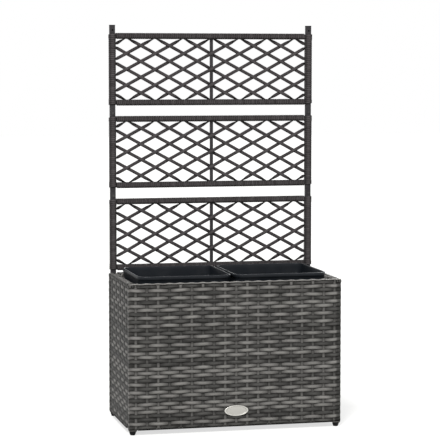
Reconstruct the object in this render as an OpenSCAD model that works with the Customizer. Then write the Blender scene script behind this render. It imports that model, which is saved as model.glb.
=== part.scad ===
// Raised garden bed: a woven box on a tube frame, two lift-out pots and a stacked trellis.
// Units are millimetres. The origin is on the floor under the middle of the box,
// +X points to the right, +Y to the rear and +Z up.

/* [Box] */
// Width of the box over its woven faces
box_w = 570; // [460:10:800]
// Depth of the box over its woven faces
box_d = 300; // [240:10:420]
// Height of the woven box walls
wall_h = 377; // [320:1:480]
// Thickness of the woven skin outside the tubes
skin_t = 4; // [3.5:0.5:6]
// Thickness of the strands wound round the box tubes
wrap_t = 3; // [2:0.5:5]
// Weaving rows in the height of a wall
weave_rows = 37; // [24:1:48]
// Depth of the groove between two weaving rows
row_groove = 1.2; // [0.4:0.1:2]

/* [Box frame] */
// Gap at the seam between two tubes of a frame, or between two windings
seam = 0.1; // [0.05:0.05:0.3]
// Outer side of the square frame tube
tube = 15; // [14:1:18]
// Side of the bore in the frame tube, which the feet and the base connectors fit
tube_bore = 12; // [10:0.5:12.5]
// Distance of the two pot support bars from the middle of the box
bar_offset = 70; // [40:5:90]
// Height of the lower corner bolts above the bottom of the walls
bolt_low = 50; // [40:5:90]
// Depth of the upper corner bolts below the rim
bolt_high = 47; // [44:1:60]

/* [Pots] */
// Height of a pot
pot_h = 190; // [150:5:240]
// Height of the pot rims above the box rim
pot_proud = 18; // [6:1:40]
// Gap between a pot and the side wall next to it
pot_side_gap = 9; // [3:1:20]
// Gap between the two pots
pot_mid_gap = 8; // [2:1:20]
// Gap between a pot and the front or rear wall
pot_end_gap = 3; // [2:0.5:12]
// Wall of a pot
pot_wall = 3; // [2:0.5:5]
// Radius of the pot corners at the rim
pot_corner = 27; // [18:1:40]
// Inward lean of each pot wall from the rim to the base
pot_draft = 9; // [2:1:14]
// Height of the thicker band round the rim
rim_band = 9; // [5:1:20]
// Extra thickness of the rim band
rim_bead = 1.5; // [0.5:0.5:2]
// Diameter of the drain holes
drain_d = 10; // [6:1:16]
// Distance of the drain holes from the middle of a pot
drain_offset = 70; // [40:5:85]

/* [Feet] */
// Height of a foot below the box
foot_h = 13.5; // [9:0.5:18]
// Diameter of a foot
foot_d = 17; // [15:0.5:20]
// Length of the plug that goes up into the leg
foot_plug = 14; // [8:1:25]
// Height of the neck between the wide pad of a foot and the leg
foot_neck_h = 4.5; // [2:0.5:6]
// Diameter of that neck
foot_neck_d = 14.5; // [13:0.5:15]
// Height of the slanted lower edge of a foot
foot_slant_h = 6; // [3:0.5:6.5]
// Diameter of the face that a foot stands on
foot_face_d = 12; // [9:0.5:14]

/* [Trellis] */
// Outer side of the square post tube
post = 14; // [13.5:0.5:16]
// Side of the bore in the post tube
post_bore = 12; // [10:0.5:12.5]
// Outer side of the square rail tube
rail = 12; // [9:0.5:12.5]
// Wall of the rail tube
rail_wall = 1; // [0.8:0.1:1.5]
// Outer side of the square centre stile
stile = 8; // [6:0.5:10]
// Thickness of the strand wound round the posts
post_wrap = 1.5; // [1:0.1:2.5]
// Thickness of the strand wound round the rails
rail_wrap = 1.6; // [1:0.1:2]
// Height of a panel over its two rails
panel_h = 194; // [150:1:260]
// Length of a post below the bottom rail
post_foot = 9; // [6:1:20]
// Length of a post above the top rail
post_head = 20; // [18:1:30]

/* [Lattice] */
// Width of a lattice strand
strand_w = 8.2; // [4:0.1:12]
// Thickness of the lattice
lattice_t = 4; // [2:0.5:6]
// Half diamonds between the centre stile and a post
half_columns = 7; // [5:2:9]
// Half diamonds in the height of a panel
half_rows = 8; // [6:2:10]
// Depth of the outermost crossings inside the wound rails
tuck = 3; // [0:0.5:5]

/* [Joints and fasteners] */
// Clearance between a plug and the bore that it fits
fit = 0.2; // [0.1:0.05:0.4]
// Wall of a post connector
connector_wall = 1.2; // [1:0.1:1.6]
// Length of a post connector in each of the two tubes it joins
connector_half = 30; // [20:1:34]
// Height of the trellis screws above the top rail
screw_rise = 8; // [5:1:10]
// Diameter of the trellis screws
screw_d = 4; // [3:0.5:5]
// Length of the trellis screws under the head
screw_l = 10; // [8:1:11]
// Diameter of the trellis screw heads
screw_head_d = 7; // [6:0.5:8]
// Height of the trellis screw heads
screw_head_h = 1.6; // [1:0.1:3]
// Diameter of the box bolts
bolt_d = 6; // [5:0.5:6.5]
// Diameter of the box bolt heads
bolt_head_d = 11; // [10:0.5:12]
// Height of the box bolt heads
bolt_head_h = 4; // [3:0.5:5]
// Clearance between a bolt or screw and its hole
hole_fit = 0.15; // [0.1:0.05:0.3]
// Length of a corner bolt inside the leg
bolt_reach = 10; // [9:0.5:11]
// Length of a rivet nut inside the leg
nut_l = 8; // [6:0.5:9]
// Wall of a rivet nut
nut_wall = 1.3; // [1:0.1:1.5]
// Height of the hex nuts under the mid rails
hex_nut_h = 5; // [4:0.5:6]
// Wall of those nuts round the hole, at the corners of the hexagon
hex_nut_wall = 2.5; // [2:0.1:3]
// Thickness of the plate of a post cap
cap_t = 2; // [1.5:0.5:4]
// Length of a post cap inside the post
cap_plug = 8; // [5:1:9]
// Overhang of a post cap past the post on each side
cap_lip = 0.3; // [0:0.1:1]

/* [Badge] */
// Width of the oval badge
badge_w = 64; // [40:2:90]
// Height of the oval badge
badge_h = 28; // [20:1:36]
// Thickness of the badge
badge_t = 1.6; // [1:0.1:3]
// Height of the badge centre above the bottom of the walls
badge_z = 41; // [30:1:80]
// Distance between the two badge pins
badge_pin_gap = 40; // [20:1:48]
// Diameter of the badge pins
badge_pin_d = 3; // [2:0.5:4]
// Thickness of the push washer on a badge pin
washer_t = 0.8; // [0.5:0.1:1.5]
// Width of the rim of that washer round its pin
washer_rim = 3; // [1:0.5:5]

/* [Hidden] */
$fn = 48;

// Colours of the materials
steel = "#2f2e31";
light_weave = "#6d6a67";
dark_weave = "#3d3a3b";
black_plastic = "#1c1f24";
zinc = "#9a9a98";
badge_metal = "#c5c4c0";

// Turns that make a wall drawn with its outside towards +X face each side
FRONT = -90;
REAR = 90;
LEFT = 180;
RIGHT = 0;

// Heights and places in the box
rim_z = foot_h + wall_h;
wall_t = skin_t + tube + wrap_t;
leg_x = box_w / 2 - skin_t - tube / 2;
leg_y = box_d / 2 - skin_t - tube / 2;
low_rail_z = foot_h + wrap_t;
top_rail_z = rim_z - wrap_t - tube;
side_half = box_d / 2 - wall_t;
stile_y = side_half - wrap_t - tube / 2;
bolt_zs = [foot_h + bolt_low, rim_z - bolt_high];

// Pots and what they stand on
pot_w = (box_w - 2 * wall_t - 2 * pot_side_gap - pot_mid_gap) / 2;
pot_d = box_d - 2 * wall_t - 2 * pot_end_gap;
pot_x = (pot_mid_gap + pot_w) / 2;
pot_z = rim_z + pot_proud - pot_h;
bar_z = pot_z - tube;
mid_rail_z = bar_z - tube;
bar_half = box_w / 2 - skin_t;

// Trellis
half_span = leg_x;
post_l = post_foot + panel_h + post_head;
post_out = post + 2 * post_wrap;
rail_out = rail + 2 * rail_wrap;
lattice_end = half_span - post_out / 2;
rise = (panel_h - 2 * rail_out + 2 * tuck) / half_rows;
run = half_span / half_columns;
trellis_top = rim_z + 3 * post_l;
bolt_hole_r = bolt_d / 2 + hole_fit;
screw_hole_r = screw_d / 2 + hole_fit;
nut_r = bolt_hole_r + nut_wall;

// Short helpers

module block(lo, hi) {
    translate(lo) cube(hi - lo);
}

module square_tube(side, bore, length) {
    linear_extrude(length) difference() {
        square(side, center = true);
        square(bore, center = true);
    }
}

module upright(x, y, z, side, bore, length) {
    translate([x, y, z]) square_tube(side, bore, length);
}

// A tube along Y, centred on x, with its lower face at z
module tube_along_y(x, z, side, bore, half) {
    translate([x, half, z + side / 2]) rotate([90, 0, 0]) square_tube(side, bore, 2 * half);
}

// A tube along X, centred on y, with its lower face at z
module tube_along_x(y, z, side, bore, half) {
    translate([-half, y, z + side / 2]) rotate([90, 0, 90]) square_tube(side, bore, 2 * half);
}

module rod_y(r, x, y0, y1, z) {
    translate([x, y1, z]) rotate([90, 0, 0]) cylinder(r = r, h = y1 - y0);
}

// Welded box frames. Each tube is a solid of its own, a weld seam away from the next.

// Leg of the front or rear frame, with the holes of its corner bolts on the inside
module leg(side, top, screw) {
    difference() {
        upright(leg_y, side * leg_x, foot_h, tube, tube_bore, top - foot_h);
        for (z = bolt_zs)
            translate([leg_y - tube / 2 - 1, side * leg_x, z]) rotate([0, 90, 0])
                cylinder(r = nut_r + hole_fit, h = (tube - tube_bore) / 2 + 2);
        if (screw)
            translate([leg_y, side * leg_x, rim_z - connector_half / 2]) rotate([0, 90, 0])
                cylinder(r = screw_hole_r, h = tube);
    }
}

module long_frame(facing, leg_top, screw) {
    color(steel) rotate([0, 0, facing]) {
        for (side = [-1, 1]) leg(side, leg_top, screw);
        for (z = [low_rail_z, top_rail_z])
            tube_along_y(leg_y, z, tube, tube_bore, leg_x - tube / 2 - seam);
    }
}

module side_stile(side) {
    difference() {
        upright(leg_x, side * stile_y, low_rail_z, tube, tube_bore, top_rail_z + tube - low_rail_z);
        for (z = bolt_zs)
            rod_y(bolt_hole_r, leg_x, side * stile_y - tube, side * stile_y + tube, z);
    }
}

module side_frame(facing) {
    rail_half = stile_y - tube / 2 - seam;
    color(steel) rotate([0, 0, facing]) {
        for (side = [-1, 1]) side_stile(side);
        for (z = [low_rail_z, top_rail_z])
            tube_along_y(leg_x, z, tube, tube_bore, rail_half);
        difference() {
            tube_along_y(leg_x, mid_rail_z, tube, tube_bore, rail_half);
            bar_bolt_holes(mid_rail_z);
        }
    }
}

module bar_bolt_holes(z) {
    for (x = [-leg_x, leg_x], y = [-bar_offset, bar_offset])
        translate([x, y, z - 1]) cylinder(r = bolt_hole_r, h = tube + 2);
}

// Woven skins. The outside is a row of shallow bumps, one for each weaving row.

function bump(t) = skin_t - row_groove * (1 - sin(180 * t));

module woven_skin(out, half) {
    pitch = wall_h / weave_rows;
    steps = 4;
    outline = [
        [0, 0],
        for (i = [0 : weave_rows - 1], s = [0 : steps - 1])
            [bump(s / steps), (i + s / steps) * pitch],
        [bump(1), wall_h],
        [0, wall_h]
    ];
    translate([out - skin_t, 0, foot_h]) rotate([90, 0, 0])
        linear_extrude(2 * half, center = true) polygon(outline);
}

module front_skin() {
    difference() {
        rotate([0, 0, FRONT]) woven_skin(box_d / 2, box_w / 2);
        for (side = [-1, 1])
            rod_y(badge_pin_d / 2 + hole_fit, side * badge_pin_gap / 2, -box_d / 2 - 1,
                  -box_d / 2 + skin_t + 1, foot_h + badge_z);
    }
}

module rear_skin() {
    difference() {
        rotate([0, 0, REAR]) woven_skin(box_d / 2, box_w / 2);
        for (side = [-1, 1])
            rod_y(screw_hole_r, side * leg_x, box_d / 2 - skin_t - 1, box_d / 2 + 1,
                  rim_z - connector_half / 2);
    }
}

// Strands wound round the box tubes, drawn as channels that close the skin over the tubes

// Upright channel round a tube at the end of a wall. The outside of the wall is towards +X.
module end_channel(out, tube_y, y0, y1, tube_z0, tube_z1) {
    difference() {
        block([out - wall_t, y0, foot_h], [out - skin_t, y1, rim_z]);
        block([out - skin_t - tube, tube_y - tube / 2, tube_z0],
              [out - skin_t + 1, tube_y + tube / 2, tube_z1]);
    }
}

// Channel along a rail between two end channels
module rail_channel(out, half, z) {
    difference() {
        block([out - wall_t, -half, z - wrap_t], [out - skin_t, half, z + tube + wrap_t]);
        block([out - skin_t - tube, -half - 1, z], [out - skin_t + 1, half + 1, z + tube]);
    }
}

module rail_cut(out, half, z) {
    block([out - skin_t - tube, -half, z], [out - skin_t + 1, half, z + tube]);
}

module long_edge_wrap(facing, leg_top) {
    inner = leg_x - tube / 2;
    color(dark_weave) rotate([0, 0, facing]) {
        for (side = [-1, 1])
            difference() {
                end_channel(box_d / 2, side * leg_x,
                            side > 0 ? inner - wrap_t : -box_w / 2,
                            side > 0 ? box_w / 2 : wrap_t - inner,
                            foot_h - 1, leg_top);
                for (z = [low_rail_z, top_rail_z]) rail_cut(box_d / 2, inner, z);
                for (z = bolt_zs)
                    translate([box_d / 2 - wall_t - 1, side * leg_x, z]) rotate([0, 90, 0])
                        cylinder(r = nut_r + hole_fit, h = wrap_t + 2);
            }
        for (z = [low_rail_z, top_rail_z]) rail_channel(box_d / 2, inner - wrap_t - seam, z);
    }
}

module side_edge_wrap(facing) {
    inner = stile_y - tube / 2;
    color(dark_weave) rotate([0, 0, facing]) {
        for (side = [-1, 1])
            difference() {
                end_channel(box_w / 2, side * stile_y,
                            side > 0 ? inner - wrap_t : -side_half,
                            side > 0 ? side_half : wrap_t - inner,
                            low_rail_z, top_rail_z + tube);
                for (z = [low_rail_z, mid_rail_z, top_rail_z]) rail_cut(box_w / 2, inner, z);
                for (z = bolt_zs)
                    rod_y(bolt_hole_r, leg_x, side * side_half - 2 * wrap_t,
                          side * side_half + 2 * wrap_t, z);
                for (z = bolt_zs)
                    rod_y(bolt_head_d / 2 + 1, leg_x, side * (inner - wrap_t) - wrap_t,
                          side * (inner - wrap_t) + wrap_t, z);
            }
        for (z = [low_rail_z, top_rail_z]) rail_channel(box_w / 2, inner - wrap_t - seam, z);
    }
}

// Pot supports and box fasteners

module support_bar(side) {
    color(steel) difference() {
        tube_along_x(side * bar_offset, bar_z, tube, tube_bore, bar_half);
        bar_bolt_holes(bar_z);
    }
}

module support_bolts() {
    color(zinc) for (x = [-leg_x, leg_x], y = [-bar_offset, bar_offset])
        translate([x, y, 0]) {
            translate([0, 0, pot_z]) cylinder(d = bolt_head_d, h = bolt_head_h);
            translate([0, 0, mid_rail_z - hex_nut_h - 1])
                cylinder(d = bolt_d, h = pot_z - mid_rail_z + hex_nut_h + 1);
        }
}

module support_nuts() {
    color(zinc) for (x = [-leg_x, leg_x], y = [-bar_offset, bar_offset])
        translate([x, y, mid_rail_z - hex_nut_h]) difference() {
            cylinder(r = bolt_hole_r + hex_nut_wall, h = hex_nut_h, $fn = 6);
            translate([0, 0, -1]) cylinder(r = bolt_hole_r, h = hex_nut_h + 2);
        }
}

// Runs its child at each of the eight corner bolts, with the leg towards +Y
module at_corner_bolts() {
    for (x = [-leg_x, leg_x], turn = [0, 180], z = bolt_zs)
        translate([x, 0, z]) rotate([0, 0, turn]) translate([0, stile_y - tube / 2, 0]) children();
}

module corner_bolts() {
    shank = tube + 2 * wrap_t + bolt_reach;
    color(zinc) at_corner_bolts() rotate([-90, 0, 0]) {
        translate([0, 0, -bolt_head_h]) cylinder(d = bolt_head_d, h = bolt_head_h);
        cylinder(d = bolt_d, h = shank);
    }
}

module corner_nuts() {
    color(zinc) at_corner_bolts() translate([0, tube + 2 * wrap_t, 0]) rotate([-90, 0, 0])
        difference() {
            cylinder(r = nut_r, h = nut_l);
            translate([0, 0, -1]) cylinder(r = bolt_hole_r, h = nut_l + 2);
        }
}

// Pots

module round_rect(w, d, r) {
    square([w - 2 * r, d], center = true);
    square([w, d - 2 * r], center = true);
    for (x = [-1, 1], y = [-1, 1])
        translate([x * (w / 2 - r), y * (d / 2 - r)]) circle(r, $fn = 32);
}

// Tapered block with rounded corners: inset from the rim size at its foot and at its head
module tapered(inset0, inset1, z0, z1) {
    slice = 0.01;
    hull() {
        translate([0, 0, z0]) linear_extrude(slice)
            round_rect(pot_w - 2 * inset0, pot_d - 2 * inset0, pot_corner - inset0);
        translate([0, 0, z1 - slice]) linear_extrude(slice)
            round_rect(pot_w - 2 * inset1, pot_d - 2 * inset1, pot_corner - inset1);
    }
}

module pot(x) {
    color(black_plastic) translate([x, 0, pot_z]) difference() {
        union() {
            tapered(pot_draft + rim_bead, rim_bead, 0, pot_h);
            translate([0, 0, pot_h - rim_band]) linear_extrude(rim_band)
                round_rect(pot_w, pot_d, pot_corner);
        }
        tapered(pot_draft + rim_bead + pot_wall, rim_bead + pot_wall, pot_wall, pot_h + 1);
        for (i = [-1, 1], j = [-1, 1])
            translate([i * drain_offset, j * drain_offset / 2, -1])
                cylinder(d = drain_d, h = pot_wall + 2);
        translate([0, 0, -1]) cylinder(d = drain_d, h = pot_wall + 2);
    }
}

// Feet

module foot(x, y) {
    pad_h = foot_h - foot_neck_h;
    color(black_plastic) translate([x * leg_x, y * leg_y, 0]) {
        rotate_extrude() polygon([
            [0, 0], [foot_face_d / 2, 0], [foot_d / 2, foot_slant_h], [foot_d / 2, pad_h],
            [foot_neck_d / 2, pad_h], [foot_neck_d / 2, foot_h], [0, foot_h]
        ]);
        translate([0, 0, foot_h + foot_plug / 2])
            cube([tube_bore - 2 * fit, tube_bore - 2 * fit, foot_plug], center = true);
    }
}

// Trellis panels. Level 0 stands on the box, level 1 on that, and level 2 on top.

function panel_z(level) = rim_z + level * post_l + post_foot;

module trellis_post(side, level) {
    z = rim_z + level * post_l;
    difference() {
        upright(side * half_span, leg_y, z, post, post_bore, post_l);
        rod_y(screw_hole_r, side * half_span, leg_y - post, leg_y, panel_z(level) + panel_h + screw_rise);
    }
}

module panel_frame(level) {
    z = panel_z(level);
    span = half_span - post / 2 - seam;
    inside = panel_h - 2 * (rail_wrap + rail + seam);
    color(steel) {
        for (side = [-1, 1]) trellis_post(side, level);
        for (rail_z = [z + rail_wrap, z + panel_h - rail_wrap - rail])
            tube_along_x(leg_y, rail_z, rail, rail - 2 * rail_wall, span);
        upright(0, leg_y, z + rail_wrap + rail + seam, stile, stile - 2 * rail_wall, inside);
    }
}

module panel_post_wraps(level) {
    z = panel_z(level);
    color(dark_weave) for (side = [-1, 1])
        difference() {
            upright(side * half_span, leg_y, z, post_out, post, panel_h);
            for (rail_z = [z + rail_wrap, z + panel_h - rail_wrap - rail])
                block([-half_span, leg_y - rail / 2, rail_z], [half_span, leg_y + rail / 2, rail_z + rail]);
        }
}

module panel_rail_wraps(level) {
    z = panel_z(level);
    color(dark_weave) difference() {
        for (rail_z = [z, z + panel_h - rail_out])
            tube_along_x(leg_y, rail_z, rail_out, rail, lattice_end);
        block([-stile / 2, leg_y - stile / 2, z + rail_out / 2],
              [stile / 2, leg_y + stile / 2, z + panel_h - rail_out / 2]);
    }
}

// Half a lattice in the plane of the panel: strands both ways, cut to the window
module half_net() {
    bottom = rail_out - panel_h / 2;
    lean = atan2(rise, run);
    reach = lattice_end + panel_h;
    intersection() {
        translate([stile / 2, bottom]) square([lattice_end - stile / 2, -2 * bottom]);
        for (way = [-1, 1], n = [-half_columns - half_rows : half_columns + half_rows])
            translate([0, 2 * n * rise]) rotate(way * lean)
                translate([0, -strand_w / 2]) square([reach, strand_w]);
    }
}

module panel_lattice(level) {
    color(dark_weave) translate([0, leg_y + lattice_t / 2, panel_z(level) + panel_h / 2])
        rotate([90, 0, 0]) for (side = [0, 1])
            mirror([side, 0, 0]) linear_extrude(lattice_t) half_net();
}

// Connector inside the joint of two posts. Its screw goes in from the front, or from
// the rear at the box legs.
module connector(side, level) {
    joint_z = rim_z + level * post_l;
    size = (level == 0 ? min(tube_bore, post_bore) : post_bore) - 2 * fit;
    screw_z = level == 0 ? rim_z - connector_half / 2 : panel_z(level - 1) + panel_h + screw_rise;
    color(steel) difference() {
        upright(side * half_span, leg_y, joint_z - connector_half, size, size - 2 * connector_wall,
                2 * connector_half);
        rod_y(screw_hole_r, side * half_span, level == 0 ? leg_y : leg_y - post,
              level == 0 ? leg_y + tube : leg_y, screw_z);
    }
}

// Screw with its seat at the origin, its head towards +Y and its shank towards -Y
module screw(shank) {
    rotate([-90, 0, 0]) {
        cylinder(d = screw_head_d, h = screw_head_h);
        translate([0, 0, -shank]) cylinder(d = screw_d, h = shank);
    }
}

module trellis_screws() {
    color(zinc) for (side = [-1, 1]) {
        translate([side * half_span, box_d / 2, rim_z - connector_half / 2])
            screw(screw_l + skin_t);
        for (level = [0, 1])
            translate([side * half_span, leg_y - post / 2, panel_z(level) + panel_h + screw_rise])
                rotate([0, 0, 180]) screw(screw_l);
    }
}

module post_cap(side) {
    wide = post + 2 * cap_lip;
    plug = post_bore - 2 * fit;
    color(black_plastic) translate([side * half_span, leg_y, trellis_top]) {
        translate([0, 0, cap_t / 2]) cube([wide, wide, cap_t], center = true);
        translate([0, 0, -cap_plug / 2]) cube([plug, plug, cap_plug], center = true);
    }
}

// Badge, bare, with its two pins

module badge() {
    color(badge_metal) translate([0, -box_d / 2, foot_h + badge_z]) rotate([90, 0, 0])
        linear_extrude(badge_t) oval(badge_w, badge_h);
}

// Oval outline as a lens of points
module oval(w, h) {
    sides = 64;
    polygon([for (i = [0 : sides - 1]) [w / 2 * cos(360 * i / sides), h / 2 * sin(360 * i / sides)]]);
}

module badge_pins() {
    color(badge_metal) for (side = [-1, 1]) {
        rod_y(badge_pin_d / 2, side * badge_pin_gap / 2, -box_d / 2, -box_d / 2 + skin_t + washer_t,
              foot_h + badge_z);
        rod_y(badge_pin_d / 2 + washer_rim, side * badge_pin_gap / 2, -box_d / 2 + skin_t,
              -box_d / 2 + skin_t + washer_t, foot_h + badge_z);
    }
}

long_frame(FRONT, rim_z - wrap_t, false);  // front_frame
long_frame(REAR, rim_z, true);  // rear_frame
side_frame(LEFT);  // left_frame
side_frame(RIGHT);  // right_frame
color(light_weave) front_skin();  // front_weave
color(light_weave) rear_skin();  // rear_weave
color(light_weave) rotate([0, 0, LEFT]) woven_skin(box_w / 2, side_half);  // left_weave
color(light_weave) rotate([0, 0, RIGHT]) woven_skin(box_w / 2, side_half);  // right_weave
long_edge_wrap(FRONT, rim_z - wrap_t);  // front_edge_wrap
long_edge_wrap(REAR, rim_z + 1);  // rear_edge_wrap
side_edge_wrap(LEFT);  // left_edge_wrap
side_edge_wrap(RIGHT);  // right_edge_wrap
support_bar(-1);  // support_bar_front
support_bar(1);  // support_bar_rear
support_bolts();
support_nuts();
corner_bolts();
corner_nuts();
pot(-pot_x);  // pot_left
pot(pot_x);  // pot_right
foot(-1, -1);  // foot_front_left
foot(1, -1);  // foot_front_right
foot(-1, 1);  // foot_rear_left
foot(1, 1);  // foot_rear_right
panel_frame(0);  // lower_frame
panel_lattice(0);  // lower_lattice
panel_post_wraps(0);  // lower_post_wraps
panel_rail_wraps(0);  // lower_rail_wraps
panel_frame(1);  // middle_frame
panel_lattice(1);  // middle_lattice
panel_post_wraps(1);  // middle_post_wraps
panel_rail_wraps(1);  // middle_rail_wraps
panel_frame(2);  // upper_frame
panel_lattice(2);  // upper_lattice
panel_post_wraps(2);  // upper_post_wraps
panel_rail_wraps(2);  // upper_rail_wraps
connector(-1, 0);  // base_connector_left
connector(1, 0);  // base_connector_right
connector(-1, 1);  // middle_connector_left
connector(1, 1);  // middle_connector_right
connector(-1, 2);  // upper_connector_left
connector(1, 2);  // upper_connector_right
trellis_screws();
post_cap(-1);  // post_cap_left
post_cap(1);  // post_cap_right
badge();
badge_pins();
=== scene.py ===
import math

import bmesh
import bpy
import numpy as np
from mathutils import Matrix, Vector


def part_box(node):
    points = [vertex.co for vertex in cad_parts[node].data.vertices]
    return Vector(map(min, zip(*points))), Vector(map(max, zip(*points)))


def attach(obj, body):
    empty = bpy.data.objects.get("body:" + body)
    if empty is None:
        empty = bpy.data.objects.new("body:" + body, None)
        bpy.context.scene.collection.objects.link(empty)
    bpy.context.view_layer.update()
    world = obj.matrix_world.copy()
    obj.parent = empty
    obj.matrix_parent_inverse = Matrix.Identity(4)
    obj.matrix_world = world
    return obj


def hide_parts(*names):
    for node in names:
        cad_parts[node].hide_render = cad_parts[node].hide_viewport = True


bl_info = {
    "name": "Raised garden bed",
    "version": (1, 0, 0),
    "blender": (4, 5, 0),
    "location": "View3D > Sidebar > Garden bed",
    "description": "Dresses a woven raised bed with two lift-out pots and a stacked trellis",
    "category": "Object",
}

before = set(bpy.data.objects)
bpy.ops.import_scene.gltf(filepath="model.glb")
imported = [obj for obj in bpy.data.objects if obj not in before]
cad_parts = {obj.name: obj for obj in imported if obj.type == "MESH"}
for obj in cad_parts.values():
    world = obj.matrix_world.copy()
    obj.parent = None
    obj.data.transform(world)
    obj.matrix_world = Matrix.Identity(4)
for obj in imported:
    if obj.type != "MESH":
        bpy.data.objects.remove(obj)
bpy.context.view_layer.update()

MM = 0.001
X, Y, UP = np.eye(3)


# Places taken from the frame

def corners(node):
    """Lowest and highest corner of a CAD node at rest, as two arrays in metres."""
    return np.array(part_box(node))


FRONT_LOW, FRONT_HIGH = corners("front_weave")
LEFT_LOW, LEFT_HIGH = corners("left_weave")
RIM = FRONT_HIGH[2]
BASE = FRONT_LOW[2]
# Thickness of the woven skin, and of a wall with its tubes
SKIN = FRONT_HIGH[1] - FRONT_LOW[1]
WALL = corners("front_edge_wrap")[1][1] - FRONT_LOW[1]

# Along and outward directions of each wall, its half length and the distance of its face
WALLS = {
    "front": (X, -Y, FRONT_HIGH[0], -FRONT_LOW[1]),
    "rear": (-X, Y, FRONT_HIGH[0], -FRONT_LOW[1]),
    "left": (-Y, -X, LEFT_HIGH[1], -LEFT_LOW[0]),
    "right": (Y, X, LEFT_HIGH[1], -LEFT_LOW[0]),
}
LONG_WALLS = ("front", "rear")

# Order of the rows from the rim down, and of the stakes along a wall: light, middle or dark.
# The side walls' stakes are counted from the front.
ROW_TONES = "DLDLDLLDLDLDDLDLDLLDDLLLDLDLLDLLLDDLD"
LONG_STAKE_TONES = "LMLDDLDMLLLLMDMLMLM"
SIDE_STAKE_TONES = "MDMDLDMD"
ROW_TONE = {"D": 0.0, "L": 1.0}
STAKE_TONE = {"D": 0.05, "M": 0.25, "L": 0.55}

# Seeds of each wall's random tones and of its random strays
TONE_SEEDS = {"front": 3, "rear": 5, "left": 7, "right": 11}
STRAY_SEEDS = {"front": 13, "rear": 15, "left": 17, "right": 21}
# How much the stretches of a row differ in lightness and in tint
LIGHT_SPREAD, TINT_SPREAD = 0.08, 0.5

# Length of the stretch with painted shade at the start and at the end of a wall's rows, where
# they turn away from the light, the length over which it grows, and how it darkens them: by a
# share of their lightness and by a shift
SHADED_ENDS = {"front": (0.0, 13 * MM), "rear": (13 * MM, 13 * MM), "left": (26 * MM, 0.0),
             "right": (0.0, 26 * MM)}
END_FADE = 6 * MM
END_SHADE_SHARE, END_SHADE_SHIFT = 0.75, 0.15

# How much painted shade a wall takes deep between its strands, how much darker a stake is close
# under a row, as a painted shadow, and the share of a row pitch over which it gets so
# Painted shade in the recesses of each wall, stronger on the side walls
RECESS_SHADE = {"front": 1.0, "rear": 1.0, "left": 1.3, "right": 1.3}
STAKE_SHADOW = 0.45
STAKE_SHADOW_FADE = 0.45

# Lightness of the strand along the rim, how much lighter its crests are as a painted highlight,
# of the strand along the base, which is dark as painted shade under the box, of the turns on a
# rail and of the strands over a wall's two end tubes
RIM_TONE = {"front": 0.9, "rear": 0.9, "left": 0.1, "right": 0.1}
CREST_HIGHLIGHT = 0.25
BASE_SHADE_TONE = -0.4
RAIL_TONES = (0.15, 0.3, 0.9)
CORNER_TONES = (0.5, 0.0, 0.3, 0.3, 0.0, 0.2)
# Lightness of the stakes' loops from this depth under the rim up, a painted light where they lie
# open on top, and the height above the rim at which a strand gets no painted shade at all
LOOP_LIT_TONE, LOOP_FROM = 0.95, 5 * MM
OPEN_ABOVE = 1 * MM
# How far the painted shade on the edges of a stake and of the border reaches, against a row's
# edges: as if they lay at this share of the way across
STAKE_EDGE, BORDER_EDGE = 0.65, 0.5

# Distance between two stakes, and of the side walls' first stake from the box's front
LONG_PITCH = 29.6 * MM
SIDE_PITCH = 29.4 * MM
SIDE_FIRST = 42.0 * MM

# Share of a pitch past the last stake over which a row still swings, and how far it sinks there
SWING_PAST = 0.48
END_SINK = 0.4 * MM

# Lengths of the two waves in which a row strays from its height
LONG_WAVE, SHORT_WAVE = 170 * MM, 74 * MM

# Radius of the turns behind a tube, and how far a turn stands out at the end of a wall
INNER_ROUND = 2.6 * MM
END_PROUD = 0.2 * MM

# How far a turn lies from its row's height, in row pitches: on the inside of a tube and where it
# meets the face. It comes level with its row over this length.
TURN_SINK = (-0.45, 0.1)
SINK_FADE = 26 * MM
# How far a turn has widened to the flat row at those two places. Below 0 it is at its narrowest.
WIDENING = (-0.6, 1)

# How much wider than its pitch a turn is, so that no gap shows: of a row, a rail of the box and
# a tube of the trellis
ROW_OVERLAP, RAIL_OVERLAP, TRELLIS_OVERLAP = 1.03, 1.04, 1.05

# Middle of a box rail from the rim or the base, heights of the corner bolts, and how far a row
# must be from each to have a strand on the inside of the tube
RAIL_MIDDLE = 10.5 * MM
BOLT_HEIGHTS = (BASE + 50 * MM, RIM - 47 * MM)
CLEAR_OF_RAIL = 14 * MM
CLEAR_OF_BOLT = 11 * MM
INSIDE_LENGTH = 8 * MM
NO_INSIDE_LENGTH = 0.4 * MM

# How far the windings of a box rail reach from the rim or the base
RAIL_DEPTH = 21 * MM

# Loop of a stake: radius of its corners, how far its middle line lies inside the wall at the
# back, above the base, and above the rim on every other stake, how far from the base and the
# rim it ends on the inside, and how far from them its straight part stops
LOOP_ROUND = 4 * MM
LOOP_BACK, LOOP_BASE, LOOP_TOPS = 0.2 * MM, 0.6 * MM, (0.1 * MM, 1.2 * MM)
LOOP_LOW_END, LOOP_HIGH_END, LOOP_STRAIGHT = 19 * MM, 18 * MM, 12 * MM

# Middle of each leg from the middle of the box, and the turns of strand round its end: half the
# side of a turn's middle line, its distance below the base and its lightness
LEG_INSET = 11.5 * MM
LEG_X, LEG_Y = FRONT_HIGH[0] - LEG_INSET, -FRONT_LOW[1] - LEG_INSET
LEG_TURNS = ((9.8 * MM, 0.9 * MM, 0.25), (8.4 * MM, 3.0 * MM, 0.1))
# Powers of the squares with rounded corners on which a leg and a trellis tube are wound
LEG_POWER, TUBE_POWER = 8.0, 16.0

LEVELS = ("lower", "middle", "upper")
# Steps of a turn round a trellis tube, and points of the strand's section
TURN_STEPS = 16
WOUND_POINTS = 6
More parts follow.
